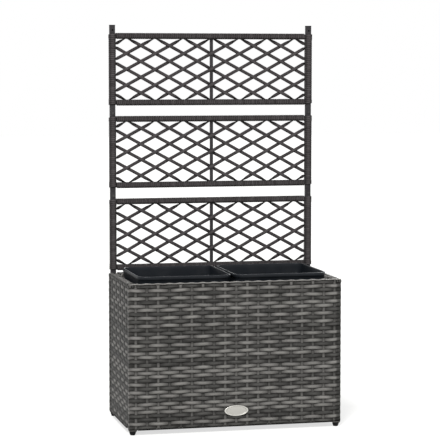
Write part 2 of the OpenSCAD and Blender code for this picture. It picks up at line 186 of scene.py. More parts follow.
# How far the middle line of a strand lies inside the CAD winding, half the strand's thickness and
# its lightness, on a post and on a rail
ON_POST = (0.1 * MM, 0.75 * MM, 0.7)
ON_RAIL = (0.2 * MM, 0.8 * MM, 0.5)
# How far the extra turns on a post reach past a rail, and the length over which they end
EXTRA_PAST, EXTRA_FADE = 1.5 * MM, 3 * MM
# How much the half turns differ in lightness
HALF_TURN_SPREAD = 0.22

# Steps of a net strand, and diamonds from the stile to a post and over the height of a panel
NET_STEPS = 113
HALF_COLUMNS = 7
HALF_ROWS = 8
# Length of a net strand that is tucked behind a rail, and how far it goes past the window at the
# posts and at the rails
TUCK = 3 * MM
PAST_POST, PAST_RAIL = 1 * MM, 1.2 * MM
# Length over which the sine of a net strand's stray goes on by one radian, how far the strand
# swings at a crossing and how much more at the stile and over what reach, how far from a rail
# and from a post it turns on edge, and by what angle
STRAY_RADIAN = 60 * MM
NET_SWING, STILE_SWING, STILE_REACH = 1.0 * MM, 4.0 * MM, 11 * MM
NEAR_RAIL, NEAR_POST = 15 * MM, 9 * MM
EDGE_TWIST = math.radians(66)
# Height by which a net strand must reach into a corner of the window to be there, its lightness
# at the back and how much more it is at the front as painted light, and how far painted shade
# darkens it where it is on edge
LEAST_REACH = 6 * MM
NET_TONE, NET_FRONT_PAINTED_LIGHT, NET_EDGE_SHADE = 0.15, 0.5, 0.8

# Round edges of a pot as (inset, height) in millimetres: outside and inside at the foot of the
# wall, and up, over and down the rim band. The height is from the base, from the inside of the
# base, from under the band and from the top.
FOOT_OUTSIDE = ((5, 0), (1.5, 0.5), (0.3, 2))
FOOT_INSIDE = ((1.5, 1.2), (5, 0))
UNDER_BAND = ((0.4, 0.1), (0, 0.8))
BAND_OUTSIDE = ((0, -1.6), (0.4, -0.5), (1.4, 0))
BAND_INSIDE = ((-1.2, 0), (-0.3, -0.5), (0, -1.6))

# Section of the badge from the back over the edge to the middle: share of its size and height
BADGE_SECTION = np.array([
    (0.04, 0.0), (0.5, 0.0), (0.97, 0.0), (0.995, 0.08), (1.0, 0.3), (0.985, 0.72),
    (0.955, 0.95), (0.92, 1.0), (0.885, 0.95), (0.86, 0.72), (0.84, 0.55), (0.80, 0.52),
    (0.7, 0.56), (0.45, 0.66), (0.2, 0.71), (0.04, 0.72)])
BADGE_POINTS = 96

# Name, turn in degrees, strength and spread in degrees of each lamp
LAMPS = (("key_light", (38, 0, -29), 3.05, 12), ("fill_light", (66, 0, 30), 0.4, 60),
         ("rear_light", (62, 0, 150), 1.9, 30))
SKY_STRENGTH = 0.30
FLOOR_REACH = 20.0
# How far the floor is lifted where it is seen straight
FLOOR_LIFT = 0.68
WHITE = (1.0, 1.0, 1.0, 1.0)


def linear(code):
    """Turns an sRGB hex colour to the linear values that a socket takes."""
    parts = np.array([int(code[i:i + 2], 16) for i in (1, 3, 5)]) / 255
    low = parts / 12.92
    high = ((parts + 0.055) / 1.055) ** 2.4
    return tuple(float(v) for v in np.where(parts <= 0.04045, low, high))


# Sizes and colours that a user would change

def length(name, description, millimetres):
    """A length property, given in millimetres and kept in metres."""
    return bpy.props.FloatProperty(name=name, description=description, default=millimetres * MM,
                                   min=0.0, unit="LENGTH", precision=5)


def colour(name, description, code):
    """A colour property, given as an sRGB hex value and kept as linear values."""
    return bpy.props.FloatVectorProperty(name=name, description=description, subtype="COLOR",
                                         size=3, min=0.0, max=1.0, default=linear(code))


class WeaveSizes(bpy.types.PropertyGroup):
    """Sizes of the woven walls"""

    row_width: length("Row strand width", "Width of the flat strand of a row", 13.2)
    row_cup: length("Row cup", "Bend of a row's edges where it passes over a stake", 2.0)
    row_stray: length("Row stray", "How far a row strays from its height", 0.45)
    strand_thick: length("Strand thickness", "Thickness of the woven strands", 1.4)
    stake_width: length("Stake width", "Width of the upright strands", 8.0)
    stake_thick: length("Stake thickness", "Thickness of the upright strands", 1.2)
    wound_thick: length("Winding thickness", "Thickness of a strand wound round a tube", 2.9)
    corner_round: length("Corner radius", "Radius of a strand's turn from a face to an end", 1.2)
    edge_wave: length("Edge wave", "How much tighter every other row turns at an edge", 0.4)
    rim_pitch: length("Rim winding pitch", "Distance between two turns on a rail", 7.4)
    border_width: length("Border width", "Width of the strand along the rim", 10.5)
    border_lift: length("Border lift", "Height of that strand's middle above the rim", 1.9)
    border_wave: length("Border wave", "Rise of that strand over a stake", 0.6)


class TrellisSizes(bpy.types.PropertyGroup):
    """Sizes of the trellis strands"""

    wound_pitch: length("Winding pitch", "Distance between two turns on a post or rail", 5.2)
    net_width: length("Net strand width", "Width of a strand of the net", 8.8)
    net_stray: length("Net stray", "How far a strand of the net strays from its line", 0.8)
    net_thick: length("Net strand thickness", "Thickness of a strand of the net", 1.9)
    extra_turn: length("Extra turn", "Thickness of the extra turns on a post at a rail", 0.5)


class PotSizes(bpy.types.PropertyGroup):
    """Sizes of the moulded pots"""

    wall: length("Wall", "Wall of a pot", 3.0)
    corner: length("Corner radius", "Radius of the corners at the rim", 27.0)
    lean: length("Lean", "Inward lean of each wall from the rim to the base", 9.0)
    band: length("Rim band", "Height of the thicker band at the rim", 9.0)
    bead: length("Rim bead", "Extra thickness of the rim band", 1.5)
    drain: length("Drain hole", "Diameter of a drain hole", 10.0)
    drain_offset: length("Drain offset", "Distance of the drain holes from the middle", 70.0)


class FinishColours(bpy.types.PropertyGroup):
    """Colours of the finishes"""

    strand_light: colour("Light strand", "Light grey strand of the box", "#83817e")
    strand_dark: colour("Dark strand", "Dark grey strand of the box", "#504f4d")
    # Colour of the painted shade on the strands' edges and between them
    strand_gap: colour("Strand gap", "Grime on the edges of the strands and between them", "#1d1c1b")
    trellis_strand: colour("Trellis strand", "Charcoal strand of the trellis", "#3f3b3c")
    trellis_crown: colour("Trellis crown", "The same where it is lightest", "#565253")
    trellis_steel: colour("Trellis steel", "Powder coat of the trellis tubes", "#343234")
    box_steel: colour("Box steel", "Powder coat of the box tubes", "#2c2b2e")
    pot_plastic: colour("Pot plastic", "Black plastic of the pots", "#14181d")
    foot_plastic: colour("Foot plastic", "Black plastic of the feet and caps", "#08080a")
    zinc: colour("Zinc", "Zinc plate of the bolts and nuts", "#c2c2be")
    dark_screw: colour("Dark screws", "Blackened steel of the trellis screws", "#3a3838")
    badge: colour("Badge", "Satin aluminium of the badge", "#bab8b2")
    # Lighter partly as a painted highlight on the rim
    badge_rim: colour("Badge rim", "Polished rim of the badge", "#cac8c2")


class StageSettings(bpy.types.PropertyGroup):
    """Floor, light and camera"""

    floor: colour("Floor", "Colour of the floor", "#a0a09e")
    camera_place: bpy.props.FloatVectorProperty(
        name="Camera place", description="Where the camera stands", size=3, unit="LENGTH",
        subtype="TRANSLATION", default=(-1.1578, -4.8500, 0.9516))
    camera_tilt: bpy.props.FloatProperty(
        name="Camera tilt", description="Angle of the camera below the horizon",
        subtype="ANGLE", default=math.radians(4.667))
    camera_turn: bpy.props.FloatProperty(
        name="Camera turn", description="Turn of the camera to the right of the front",
        subtype="ANGLE", default=math.radians(13.331))
    camera_lens: bpy.props.FloatProperty(
        name="Focal length", description="Focal length on a 36 mm wide sensor",
        unit="CAMERA", default=153.40)


# Objects and meshes

def put(name, data):
    """Puts an object in the scene for a mesh, a lamp or a camera."""
    made = bpy.data.objects.new(name, data)
    bpy.context.scene.collection.objects.link(made)
    return made


def piece(name, mesh, material, body, replaced=()):
    """Puts a mesh in the scene as a piece that rides on a body and takes a slot's finish."""
    made = put(name, mesh)
    mesh.materials.append(material)
    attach(made, body)
    if replaced:
        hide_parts(*replaced)
    return made


def faces_to_mesh(name, points, quads, rings=(), smooth=True):
    """Mesh of quads, and of rings of more corners that close ends."""
    mesh = bpy.data.meshes.new(name)
    points = np.asarray(points, np.float32).reshape(-1, 3)
    groups = [quads.reshape(-1, 4), *rings]
    counts = np.concatenate([np.full(len(g), g.shape[1]) for g in groups])
    loops = np.concatenate([g.ravel() for g in groups])
    starts = np.concatenate([[0], np.cumsum(counts)[:-1]])
    mesh.vertices.add(len(points))
    mesh.vertices.foreach_set("co", points.ravel())
    mesh.loops.add(len(loops))
    mesh.loops.foreach_set("vertex_index", loops.astype(np.int32))
    mesh.polygons.add(len(counts))
    mesh.polygons.foreach_set("loop_start", starts.astype(np.int32))
    mesh.polygons.foreach_set("use_smooth", np.full(len(counts), smooth))
    mesh.update(calc_edges=True)
    mesh.validate()
    return mesh


def closed_mesh(name, points):
    """Mesh of bodies that are rings of points joined in turn, as an array (body, ring, point, 3).

    The first and the last ring are closed by a face each.
    """
    index = np.arange(points.size // 3).reshape(points.shape[:3])
    after = np.roll(index, -1, axis=2)
    quads = np.stack([index[:, :-1], after[:, :-1], after[:, 1:], index[:, 1:]], axis=-1)
    return faces_to_mesh(name, points, quads, [index[:, 0, ::-1], index[:, -1]])


def unit(vectors):
    """Vectors over their lengths."""
    return vectors / np.linalg.norm(vectors, axis=-1, keepdims=True)


def ease(t):
    """Smooth step from 0 to 1: 3t² - 2t³, held at 0 and 1 outside."""
    t = np.clip(t, 0, 1)
    return t * t * (3 - 2 * t)


def arc(centre_u, centre_n, radius, start, stop, steps=6):
    """Two coordinates of an arc: centre + radius * (cos a, sin a), with a from start to stop."""
    a = np.radians(np.linspace(start, stop, steps))
    return centre_u + radius * np.cos(a), centre_n + radius * np.sin(a)


def bends(radius, steps, *turns):
    """Arcs of one radius run together. Each is given by its centre and its two angles."""
    return np.concatenate([arc(u, n, radius, start, stop, steps) for u, n, start, stop in turns],
                          axis=1)


def heading(first, second):
    """Unit way ahead of paths (strand, step), from their two coordinates in a plane."""
    return unit(np.stack([np.gradient(first, axis=1), np.gradient(second, axis=1)], axis=-1))


def superellipse(a, half, power):
    """Distance from the middle to a square with rounded corners, at the angle a.

    It is half / (|cos a|^power + |sin a|^power)^(1/power).
    """
    return half / (np.abs(np.cos(a)) ** power + np.abs(np.sin(a)) ** power) ** (1 / power)


def signed_power(wave, power):
    """A wave raised to a power, with its sign kept."""
    return np.sign(wave) * np.abs(wave) ** power


def sweep(path, across, out, half_width, half_thick, cup=0.0, points=8, flat=0.85):
    """Carries a strand section along many paths at once.

    path, across and out are arrays (strand, step, 3), and the half sizes and cup are numbers
    or arrays (strand, step). The section is a flattened oval with a crowned outside:
    section_across = cos(a) and section_out = sin(a), each raised to the power flat with its
    sign kept. Point = path + half_width * section_across * across
    + (half_thick * section_out - cup * section_across²) * out, so that cup bends the edges
    back. Returns the points, the quads between two steps, the rings that close both ends, and
    each point's (distance along, share of the way across). The faces point outwards: they are
    turned round on a strand whose across, out and way ahead are right-handed.
    """
    a = np.linspace(0, 2 * np.pi, points, endpoint=False)
    section_across = signed_power(np.cos(a), flat)
    section_out = signed_power(np.sin(a), flat)
    strands, steps = path.shape[:2]

    def each_step(value):
        """A number or an array (strand, step), ready to be carried round the section."""
        return np.broadcast_to(value, (strands, steps))[..., None]

    wide = each_step(half_width) * section_across
    thick = each_step(half_thick) * section_out - each_step(cup) * section_across ** 2
    across = np.broadcast_to(across, path.shape)
    out = np.broadcast_to(out, path.shape)
    grid = (path[:, :, None, :] + wide[..., None] * across[:, :, None, :]
            + thick[..., None] * out[:, :, None, :])
    index = np.arange(wide.size).reshape(wide.shape)
    after = np.roll(index, -1, axis=2)
    quads = np.stack([index[:, :-1], index[:, 1:], after[:, 1:], after[:, :-1]], axis=-1)
    ends = np.stack([index[:, 0], index[:, -1, ::-1]])
    ahead = np.diff(path, axis=1)
    turned = (np.cross(across, out)[:, :-1] * ahead).sum(axis=(1, 2)) > 0
    quads = np.where(turned[:, None, None, None], quads[..., ::-1], quads)
    ends = np.where(turned[:, None], ends[..., ::-1], ends)
    hop = np.linalg.norm(ahead, axis=-1)
    along = np.concatenate([np.zeros((strands, 1)), np.cumsum(hop, axis=1)], axis=1)
    place = np.stack([np.broadcast_to(along[..., None], wide.shape),
                      np.broadcast_to(section_across, wide.shape)], axis=-1)
    return (grid.reshape(-1, 3), quads.reshape(-1, 4), ends.reshape(-1, points),
            place.reshape(-1, 2))


def recess(points, side):
    """How deep each point lies in the skin of a wall: 0 on its envelope and 1 under the skin.

    The depth is the least distance to the wall's outside, inside, ends and rim, over the
    thickness of the skin, times how much painted shade the wall takes in its recesses.
    """
    along, outward, half, face = WALLS[side]
    n = points @ outward
    distances = [face - n, n - face + WALL, half - np.abs(points @ along),
                 RIM + OPEN_ABOVE - points[:, 2]]
    return np.clip(np.minimum.reduce(distances) / SKIN * RECESS_SHADE[side], 0, 1)


def untinted(tone):
    """Array (strand, step) of (lightness, tint) from one of lightness, with no tint."""
    return np.stack([tone, np.zeros_like(tone)], axis=-1)


def strand_mesh(name, sweeps, tones, side=None):
    """Joins sweeps in one mesh. Each has a tone array (strand, step) of (lightness, tint, depth).

    On a wall the array leaves the depth out, as it is worked out from how deep a point lies in
    the skin. The depth darkens the strand with painted shade. Each strand has its own place in the
    finish's pattern.
    """
    strand_apart, sweep_apart = 0.31, 7.7
    points, quads, ends, places, shades = [], [], [], [], []
    count = 0
    for number, ((grid, faces, rings, place), tone) in enumerate(zip(sweeps, tones)):
        strands, steps = tone.shape[:2]
        ring = len(grid) // (strands * steps)
        strand = (np.repeat(np.arange(strands), steps * ring) * strand_apart
                  + number * sweep_apart)
        shade = np.repeat(tone.reshape(strands * steps, -1), ring, axis=0)
        points.append(grid)
        quads.append(faces + count)
        ends.append(rings + count)
        places.append(np.column_stack([place, strand]))
        shades.append(np.column_stack([shade, recess(grid, side)]) if side else shade)
        count += len(grid)
    mesh = faces_to_mesh(name, np.concatenate(points), np.concatenate(quads), ends)
    for label, values in (("strand_place", places), ("strand_tone", shades)):
        attribute = mesh.attributes.new(label, "FLOAT_VECTOR", "POINT")
        attribute.data.foreach_set("vector", np.concatenate(values).astype(np.float32).ravel())
    return mesh


def strand_piece(name, use, sweeps, tones, nodes=(), side=None):
    """Makes a piece of woven or wound strand, of the box or of the trellis."""
    piece(name, strand_mesh(name, sweeps, tones, side), finishes()[use], "planter", nodes)


# Woven walls

def on_wall(side, u, n, z):
    """Point of a wall at u along it, n outwards and z up, as an array of places."""
    along, outward = WALLS[side][:2]
    u, n, z = np.broadcast_arrays(u, n, z)
    return u[..., None] * along + n[..., None] * outward + z[..., None] * UP


def hoop(side, u, n, z, half_width, half_thick, turn=1, flat=0.85):
    """Sweep of strands that are bent in a section across a wall.

    There a strand goes ahead by (dn, dz), and its out is at right angles: turn * (dz, -dn).
    """
    ahead = heading(n, z)
    out = on_wall(side, 0.0, turn * ahead[..., 1], -turn * ahead[..., 0])
    return sweep(on_wall(side, u, n, z), WALLS[side][0], out, half_width, half_thick, flat=flat)


def stake_places(side):
    """Distances of a wall's stakes along it, and their pitch.

    They are evenly spaced: about the middle of a long wall, and from the front on a side wall.
    """
    if side in LONG_WALLS:
        count = len(LONG_STAKE_TONES)
        return (np.arange(count) - (count - 1) / 2) * LONG_PITCH, LONG_PITCH
    from_front = SIDE_FIRST + np.arange(len(SIDE_STAKE_TONES)) * SIDE_PITCH + FRONT_LOW[1]
    return (-from_front[::-1] if side == "left" else from_front), SIDE_PITCH


def in_order(side, values):
    """Values of the stakes, turned from the order of stake_places to that from the front or left.

    Only the left wall's stakes are listed from the rear. It also turns them back.
    """
    return np.asarray(values)[::-1 if side == "left" else 1]


def row_places():
    """Middle height and half width of each row, from the rim down, and their pitch.

    Rows are a pitch apart. The first and last are narrower, so that they end at the rim and base.
    """
    count = len(ROW_TONES)
    pitch = (RIM - BASE) / count
    z = RIM - (np.arange(count) + 0.5) * pitch
    half = np.full(count, bpy.context.scene.weave_sizes.row_width / 2)
    half[[0, -1]] = pitch / 2
    return z, half, pitch


def weave_depth(side, u, rows):
    """Distance of the rows' middle line from the middle of the box, as (row, step).

    A row swings about the stakes by a cosine whose half wave is the stake pitch. Counted from
    the rim and from the front or left, it is outside where its number and the stake's add up to
    an odd number. Past the last stake it comes to a little under the middle of the skin.
    """
    sizes = bpy.context.scene.weave_sizes
    stakes, pitch = stake_places(side)
    swing = (sizes.strand_thick + sizes.stake_thick) / 2
    reach = np.clip(u, stakes[0] - SWING_PAST * pitch, stakes[-1] + SWING_PAST * pitch)
    sign = np.where(rows % 2 == 0, -1.0, 1.0)
    wave = np.cos(np.pi * (reach - in_order(side, stakes)[0]) / pitch)
    past = np.maximum(stakes[0] - u, u - stakes[-1]) / (pitch / 2)
    return WALLS[side][3] - SKIN / 2 + swing * sign[:, None] * wave - END_SINK * ease(past)


def row_tones(side, stretches, rows, u):
    """Lightness and tint of each step of each row.

    Each row is light or dark, and each stretch between two stakes differs a little at random.
    At an end of the wall that turns away from the light, the rows are darkened by painted shade.
    """
    rng = np.random.default_rng(TONE_SEEDS[side])
    draws = (len(rows), stretches + 4)
    jitter = rng.normal(0, LIGHT_SPREAD, draws)
    tint = rng.normal(0, TINT_SPREAD, draws)
    half = WALLS[side][2]
    stretch = ((u + half) / (2 * half) * (stretches + 1)).astype(int)
    # Painted shade on the stretch at each end that turns away from the light
    start, stop = SHADED_ENDS[side]
    end_shade = ease((start - half - u) / END_FADE + 0.5) + ease((u + stop - half) / END_FADE + 0.5)
    base = np.array([ROW_TONE[letter] for letter in ROW_TONES])[rows]
    tone = base[:, None] * (1 - END_SHADE_SHARE * end_shade) + jitter[:, stretch] - END_SHADE_SHIFT * end_shade
    return np.stack([tone, tint[:, stretch]], axis=-1)


def row_stray(side, rows, u):
    """How far each step of each row lies above its height, as the rows were laid by hand.

    It is the sum of two sines along the wall, a long and a short one, of random phase.
    """
    rng = np.random.default_rng(STRAY_SEEDS[side])
    phase = rng.uniform(0, 2 * np.pi, (2, len(rows), 1))
    waves = (np.sin(2 * np.pi * u / LONG_WAVE + phase[0])
             + np.sin(2 * np.pi * u / SHORT_WAVE + phase[1]))
    return bpy.context.scene.weave_sizes.row_stray * waves


def inside_lengths(side, z):
    """Length of strand that each row has on the inside of the end tubes.

    Rows that are level with a rail or a bolt have next to none.
    """
    rails = [BASE + RAIL_MIDDLE, RIM - RAIL_MIDDLE]
    if side not in LONG_WALLS:
        bar_low, bar_high = corners("support_bar_front")[:, 2]
        rails.append(bar_low - (bar_high - bar_low) / 2)
    near_rail = np.abs(z[:, None] - rails) <= CLEAR_OF_RAIL
    near_bolt = np.abs(z[:, None] - BOLT_HEIGHTS) <= CLEAR_OF_BOLT
    level = near_rail.any(axis=1) | near_bolt.any(axis=1)
    return np.where(level, NO_INSIDE_LENGTH, INSIDE_LENGTH)


def end_turn(side, depth, inner):
    """Plan of the rows' turn round the tube at the start of a wall, as (row, step) arrays.

    From the inside of the tube the strand goes round its back and its end to the face. depth
    is the distance of the face for each row, and inner the length on the inside of the tube.
    """
    sizes = bpy.context.scene.weave_sizes
    half, face = WALLS[side][2:]
    r, small = sizes.corner_round, INNER_ROUND
    mid = sizes.wound_thick / 2
    end_u = -half + mid - END_PROUD
    in_u = -half + WALL - mid
    back = face - WALL + mid
    first_u, first_n = arc(in_u - small, back + small, small, 0, -90)
    second_u, second_n = arc(end_u + small, back + small, small, -90, -180)
    third_u, third_n = arc(end_u + r, 0, r, 180, 90)
    # Every other row is wound tighter, so that the edge of the wall is wavy
    tight = np.where(np.arange(len(depth)) % 2 == 1, sizes.edge_wave, 0.0)[:, None]
    ones = np.ones((len(depth), 1))
    u = np.concatenate([ones * in_u, ones * first_u, second_u + tight, third_u + tight], axis=1)
    n = np.concatenate([back + small + inner[:, None], ones * first_n, ones * second_n,
                        third_n + (depth - r)[:, None]], axis=1)
    return u, n


def between(turn, middle, last):
    """Joins values of a turn, of the face and of the last turn, which is run backwards."""
    return np.concatenate([turn, middle, last[..., ::-1]], axis=-1)


def wall_rows(side):
    """Sweep and tones of a wall's rows: woven on the face and turned round both end tubes."""
    sizes = bpy.context.scene.weave_sizes
    half, face = WALLS[side][2:]
    stakes, _ = stake_places(side)
    steps = 10 if side in LONG_WALLS else 12
    end_steps = 7
    rows = np.arange(len(ROW_TONES))
    z, width, row_pitch = row_places()
    stop = half - sizes.corner_round - sizes.wound_thick / 2
    face_u = np.concatenate([
        np.linspace(-stop, stakes[0], end_steps)[1:-1],
        np.linspace(stakes[0], stakes[-1], (len(stakes) - 1) * steps + 1),
        np.linspace(stakes[-1], stop, end_steps)[1:-1],
    ])
    face_n = weave_depth(side, face_u, rows)
    first_n, last_n = weave_depth(side, np.array([-stop, stop]), rows).T
    inner = inside_lengths(side, z)
    turn_u, turn_n = end_turn(side, first_n, inner)
    last_turn_n = end_turn(side, last_n, inner)[1]
    u = between(turn_u, np.broadcast_to(face_u, face_n.shape), -turn_u)
    n = between(turn_n, face_n, last_turn_n)
    # A turn sinks by under half a pitch towards the inside, so that the turns lie aslant
    count = turn_u.shape[1]
    slant = np.linspace(*TURN_SINK, count)
    level = TURN_SINK[1] * (1 - ease((half - np.abs(face_u)) / SINK_FADE))
    sink = between(slant, level, slant) * row_pitch
    # From 0 where a turn is a thick narrow strand to 1 where the row is woven
    widen = ease(np.linspace(*WIDENING, count))
    on_face = between(widen, np.ones(len(face_u)), widen)
    wound = row_pitch / 2 * ROW_OVERLAP
    half_width = wound + (width[:, None] - wound) * on_face
    half_thick = (sizes.wound_thick + (sizes.strand_thick - sizes.wound_thick) * on_face) / 2
    height = np.clip(z[:, None] + sink + row_stray(side, rows, u[0]), BASE + half_width,
                     RIM - half_width)
    ahead = heading(u, n)
    out = on_wall(side, -ahead[..., 1], ahead[..., 0], 0.0)
    # The edges bend back most where a row passes over a stake
    over = between(np.zeros(turn_n.shape), (face_n - face + SKIN) / SKIN, np.zeros(turn_n.shape))
    swept = sweep(on_wall(side, u, n, height), UP, out, half_width, half_thick,
                  sizes.row_cup * ease(over), points=10)
    return swept, row_tones(side, len(stakes) - 1, rows, u[0])


def wall_stakes(side):
    """Sweep and tones of a wall's stakes: up the face and looped over the top and bottom rails.

    In a section across the wall the path is a round-cornered loop, open on the inside. A stake
    shows between two rows that pass over it, and a painted shadow darkens it there close under the
    upper one.
    """
    sizes = bpy.context.scene.weave_sizes
    face = WALLS[side][3]
    stakes, _ = stake_places(side)
    r = LOOP_ROUND
    front = face - SKIN / 2
    back = face - WALL + LOOP_BACK
    bottom = BASE + LOOP_BASE + r
    top = RIM + np.take(LOOP_TOPS, np.arange(len(stakes)) % 2)
    low_n, low_z = bends(r, 7, (back + r, bottom, 180, 270), (front - r, bottom, -90, 0))
    high_n, high_z = bends(r, 7, (front - r, -r, 0, 90), (back + r, -r, 90, 180))
    straight = np.linspace(BASE + LOOP_STRAIGHT, RIM - LOOP_STRAIGHT, 5 * len(ROW_TONES))
    loop = np.concatenate([[back], low_n, np.full(len(straight), front), high_n, [back]])
    up = np.concatenate([[BASE + LOOP_LOW_END], low_z, straight])
    over = np.append(high_z, -LOOP_HIGH_END)
    z = np.concatenate([np.tile(up, (len(stakes), 1)), top[:, None] + over], axis=1)
    n = np.broadcast_to(loop, z.shape)
    swept = hoop(side, stakes[:, None], n, z, sizes.stake_width / 2, sizes.stake_thick / 2,
                 flat=0.7)
    swept[3][:, 1] *= STAKE_EDGE
    # Rows above and below the middle of an opening, from -1 to 1
    row_pitch = row_places()[2]
    number = in_order(side, np.arange(len(stakes)))[:, None]
    above = (z - RIM + row_pitch / 2) / row_pitch + number
    above = above - 2 * np.round(above / 2)
    on_front = np.abs(n - front) < 0.001 * MM
    # Painted shadow of the row above, on the front of the stake close under it
    painted_shadow = np.where(on_front, STAKE_SHADOW * (1 - ease(1 - above / STAKE_SHADOW_FADE)), 0)
    letters = LONG_STAKE_TONES if side in LONG_WALLS else SIDE_STAKE_TONES
    lightness = in_order(side, [STAKE_TONE[letter] for letter in letters])
    # The loops over the top rail get a painted light; the rest of a stake its tone less the painted
    # shadow
    return swept, untinted(np.where(z > RIM - LOOP_FROM, LOOP_LIT_TONE, lightness[:, None] - painted_shadow))


def rail_turns(side, top):
    """Sweep and tones of the turns that cover a rail's top, back and underside.

    In a section across the wall a turn is a C of round corners, and it leans along the wall by
    one pitch, as a helix does. The bottom rail has the same turns upside down.
    """
    sizes = bpy.context.scene.weave_sizes
    half, face = WALLS[side][2:]
    mid = sizes.wound_thick / 2
    r = 3 * MM
    reach = half - WALL
    count = int(2 * reach / sizes.rim_pitch)
    middles = (np.arange(count) - (count - 1) / 2) * (2 * reach / count)
    back = face - WALL + mid
    far = RAIL_DEPTH - mid
    bend_n, bend_depth = bends(r, 6, (back + r, mid + r, 270, 180), (back + r, far - r, 180, 90))
    # It starts near the face, goes back over the rail and ends behind the skin
    start, middle, end = face - 2.5 * MM, face - 9 * MM, face - SKIN - 3 * MM
    n = np.tile(np.concatenate([[start, middle], bend_n, [end]]), (count, 1))
    depth = np.concatenate([[mid, mid], bend_depth, [far]])
    z = np.tile(RIM - depth if top else BASE + depth, (count, 1))
    lean = np.linspace(-0.5, 0.5, n.shape[1]) * sizes.rim_pitch
    u = np.clip(middles[:, None] + lean, r - reach, reach - r)
    swept = hoop(side, u, n, z, sizes.rim_pitch / 2 * RAIL_OVERLAP, mid, 1 if top else -1)
    rng = np.random.default_rng(count + len(side))
    return swept, untinted(rng.choice(RAIL_TONES, (count, 1)) * np.ones(n.shape))


def corner_tops(side):
    """Sweep and tones of three strands laid over the top of each end tube of a wall."""
    half, face = WALLS[side][2:]
    r, mid, apart, half_width, drop = 3 * MM, 0.8 * MM, 7.2 * MM, 3.7 * MM, 6 * MM
    spots = (np.arange(3) - 1) * apart
    end = half - WALL / 2
    middles = np.concatenate([spots - end, spots + end])[:, None]
    front = face - 1.6 * MM
    back = face - WALL + 1.2 * MM
    high = RIM - mid - r
    bend_n, bend_z = bends(r, 6, (front - r, high, 0, 90), (back + r, high, 90, 180))
    shape = (len(middles), 1)
    n = np.tile(np.concatenate([[front], bend_n, [back]]), shape)
    z = np.tile(np.concatenate([[RIM - drop], bend_z, [RIM - drop]]), shape)
    swept = hoop(side, middles, n, z, half_width, mid)
    return swept, untinted(np.array(CORNER_TONES)[:, None] * np.ones(n.shape))


def border(side, top):
    """Sweep and tones of the strand along the rim: z = rim + a cosine that crests at each stake.

    The strand bends down over the front of the rim, and a painted highlight makes it lightest on
    its crests. The one under the bottom rail is level and dark: a dark strip of painted shade under
    the base.
    """
    sizes = bpy.context.scene.weave_sizes
    half, face = WALLS[side][2:]
    stakes, pitch = stake_places(side)
    behind_face, below_base = 0.3 * MM, 0.3 * MM
    half_thick, bend = 1.1 * MM, 1.8 * MM * top
    stop = half - (WALL + 2 * MM if side == "rear" or not top else 1 * MM)
    u = np.linspace(-stop, stop, 16 * len(stakes) + 1)[None, :]
    wave = np.cos(2 * np.pi * (u - stakes[0]) / pitch) * top
    z = np.where(top, RIM + sizes.border_lift + sizes.border_wave * wave, BASE - below_base)
    path = on_wall(side, u, face - sizes.border_width / 2 - behind_face, z)
    swept = sweep(path, -WALLS[side][1], UP, sizes.border_width / 2, half_thick, bend)
    swept[3][:, 1] *= BORDER_EDGE
    # Painted highlight on the crests of the rim strand, and painted shade on the strand under the
    # base
    return swept, untinted(np.where(top, RIM_TONE[side] + CREST_HIGHLIGHT * wave, BASE_SHADE_TONE))


class BED_OT_walls(bpy.types.Operator):
    """Weave the four walls of the box on their tubes"""

    bl_idname = "bed.walls"
    bl_label = "Woven walls"

    def execute(self, context):
        for side in WALLS:
            nodes = (f"{side}_weave", f"{side}_edge_wrap")
            rows, row_tone = wall_rows(side)
            stakes, stake_tone = wall_stakes(side)
            strand_piece(f"{side}_rows", "box_strand", [rows], [row_tone], nodes, side)
            strand_piece(f"{side}_stakes", "box_strand", [stakes], [stake_tone], nodes[:1], side)
        return {"FINISHED"}


def leg_ends():
    """Sweeps and tones of the strand wound round each leg's end, over the neck of its foot.

    In plan a turn is a superellipse, and each lower turn is smaller, so that the end tapers
    towards the foot.
    """
    half_width, half_thick = 1.5 * MM, 1.0 * MM
    sweeps, tones = [], []
    a = np.linspace(0, 2 * np.pi, 49)
    for x in (-LEG_X, LEG_X):
        for y in (-LEG_Y, LEG_Y):
            for half, below, tone in LEG_TURNS:
                r = superellipse(a, half, LEG_POWER)
                path = np.stack([x + r * np.cos(a), y + r * np.sin(a),
                                 np.full_like(a, BASE - below)], axis=-1)
                out = np.cross(unit(np.gradient(path, axis=0)), UP)
                sweeps.append(sweep(path[None], UP, out[None], half_width, half_thick))
                tones.append(np.broadcast_to((tone, 0.0, 0.0), (1, len(a), 3)))
    return sweeps, tones


class BED_OT_rims(bpy.types.Operator):
    """Wind the rails of the box and lay the border along its rim"""

    bl_idname = "bed.rims"
    bl_label = "Rims and rail windings"

    def execute(self, context):
        for side in WALLS:
            parts = [rail_turns(side, True), rail_turns(side, False), border(side, True),
                     border(side, False)]
            if side != "rear":
                parts.append(corner_tops(side))
            strand_piece(f"{side}_windings", "box_strand", *zip(*parts), (f"{side}_edge_wrap",),
                         side)
        strand_piece("leg_windings", "box_strand", *leg_ends())
        return {"FINISHED"}


# Trellis

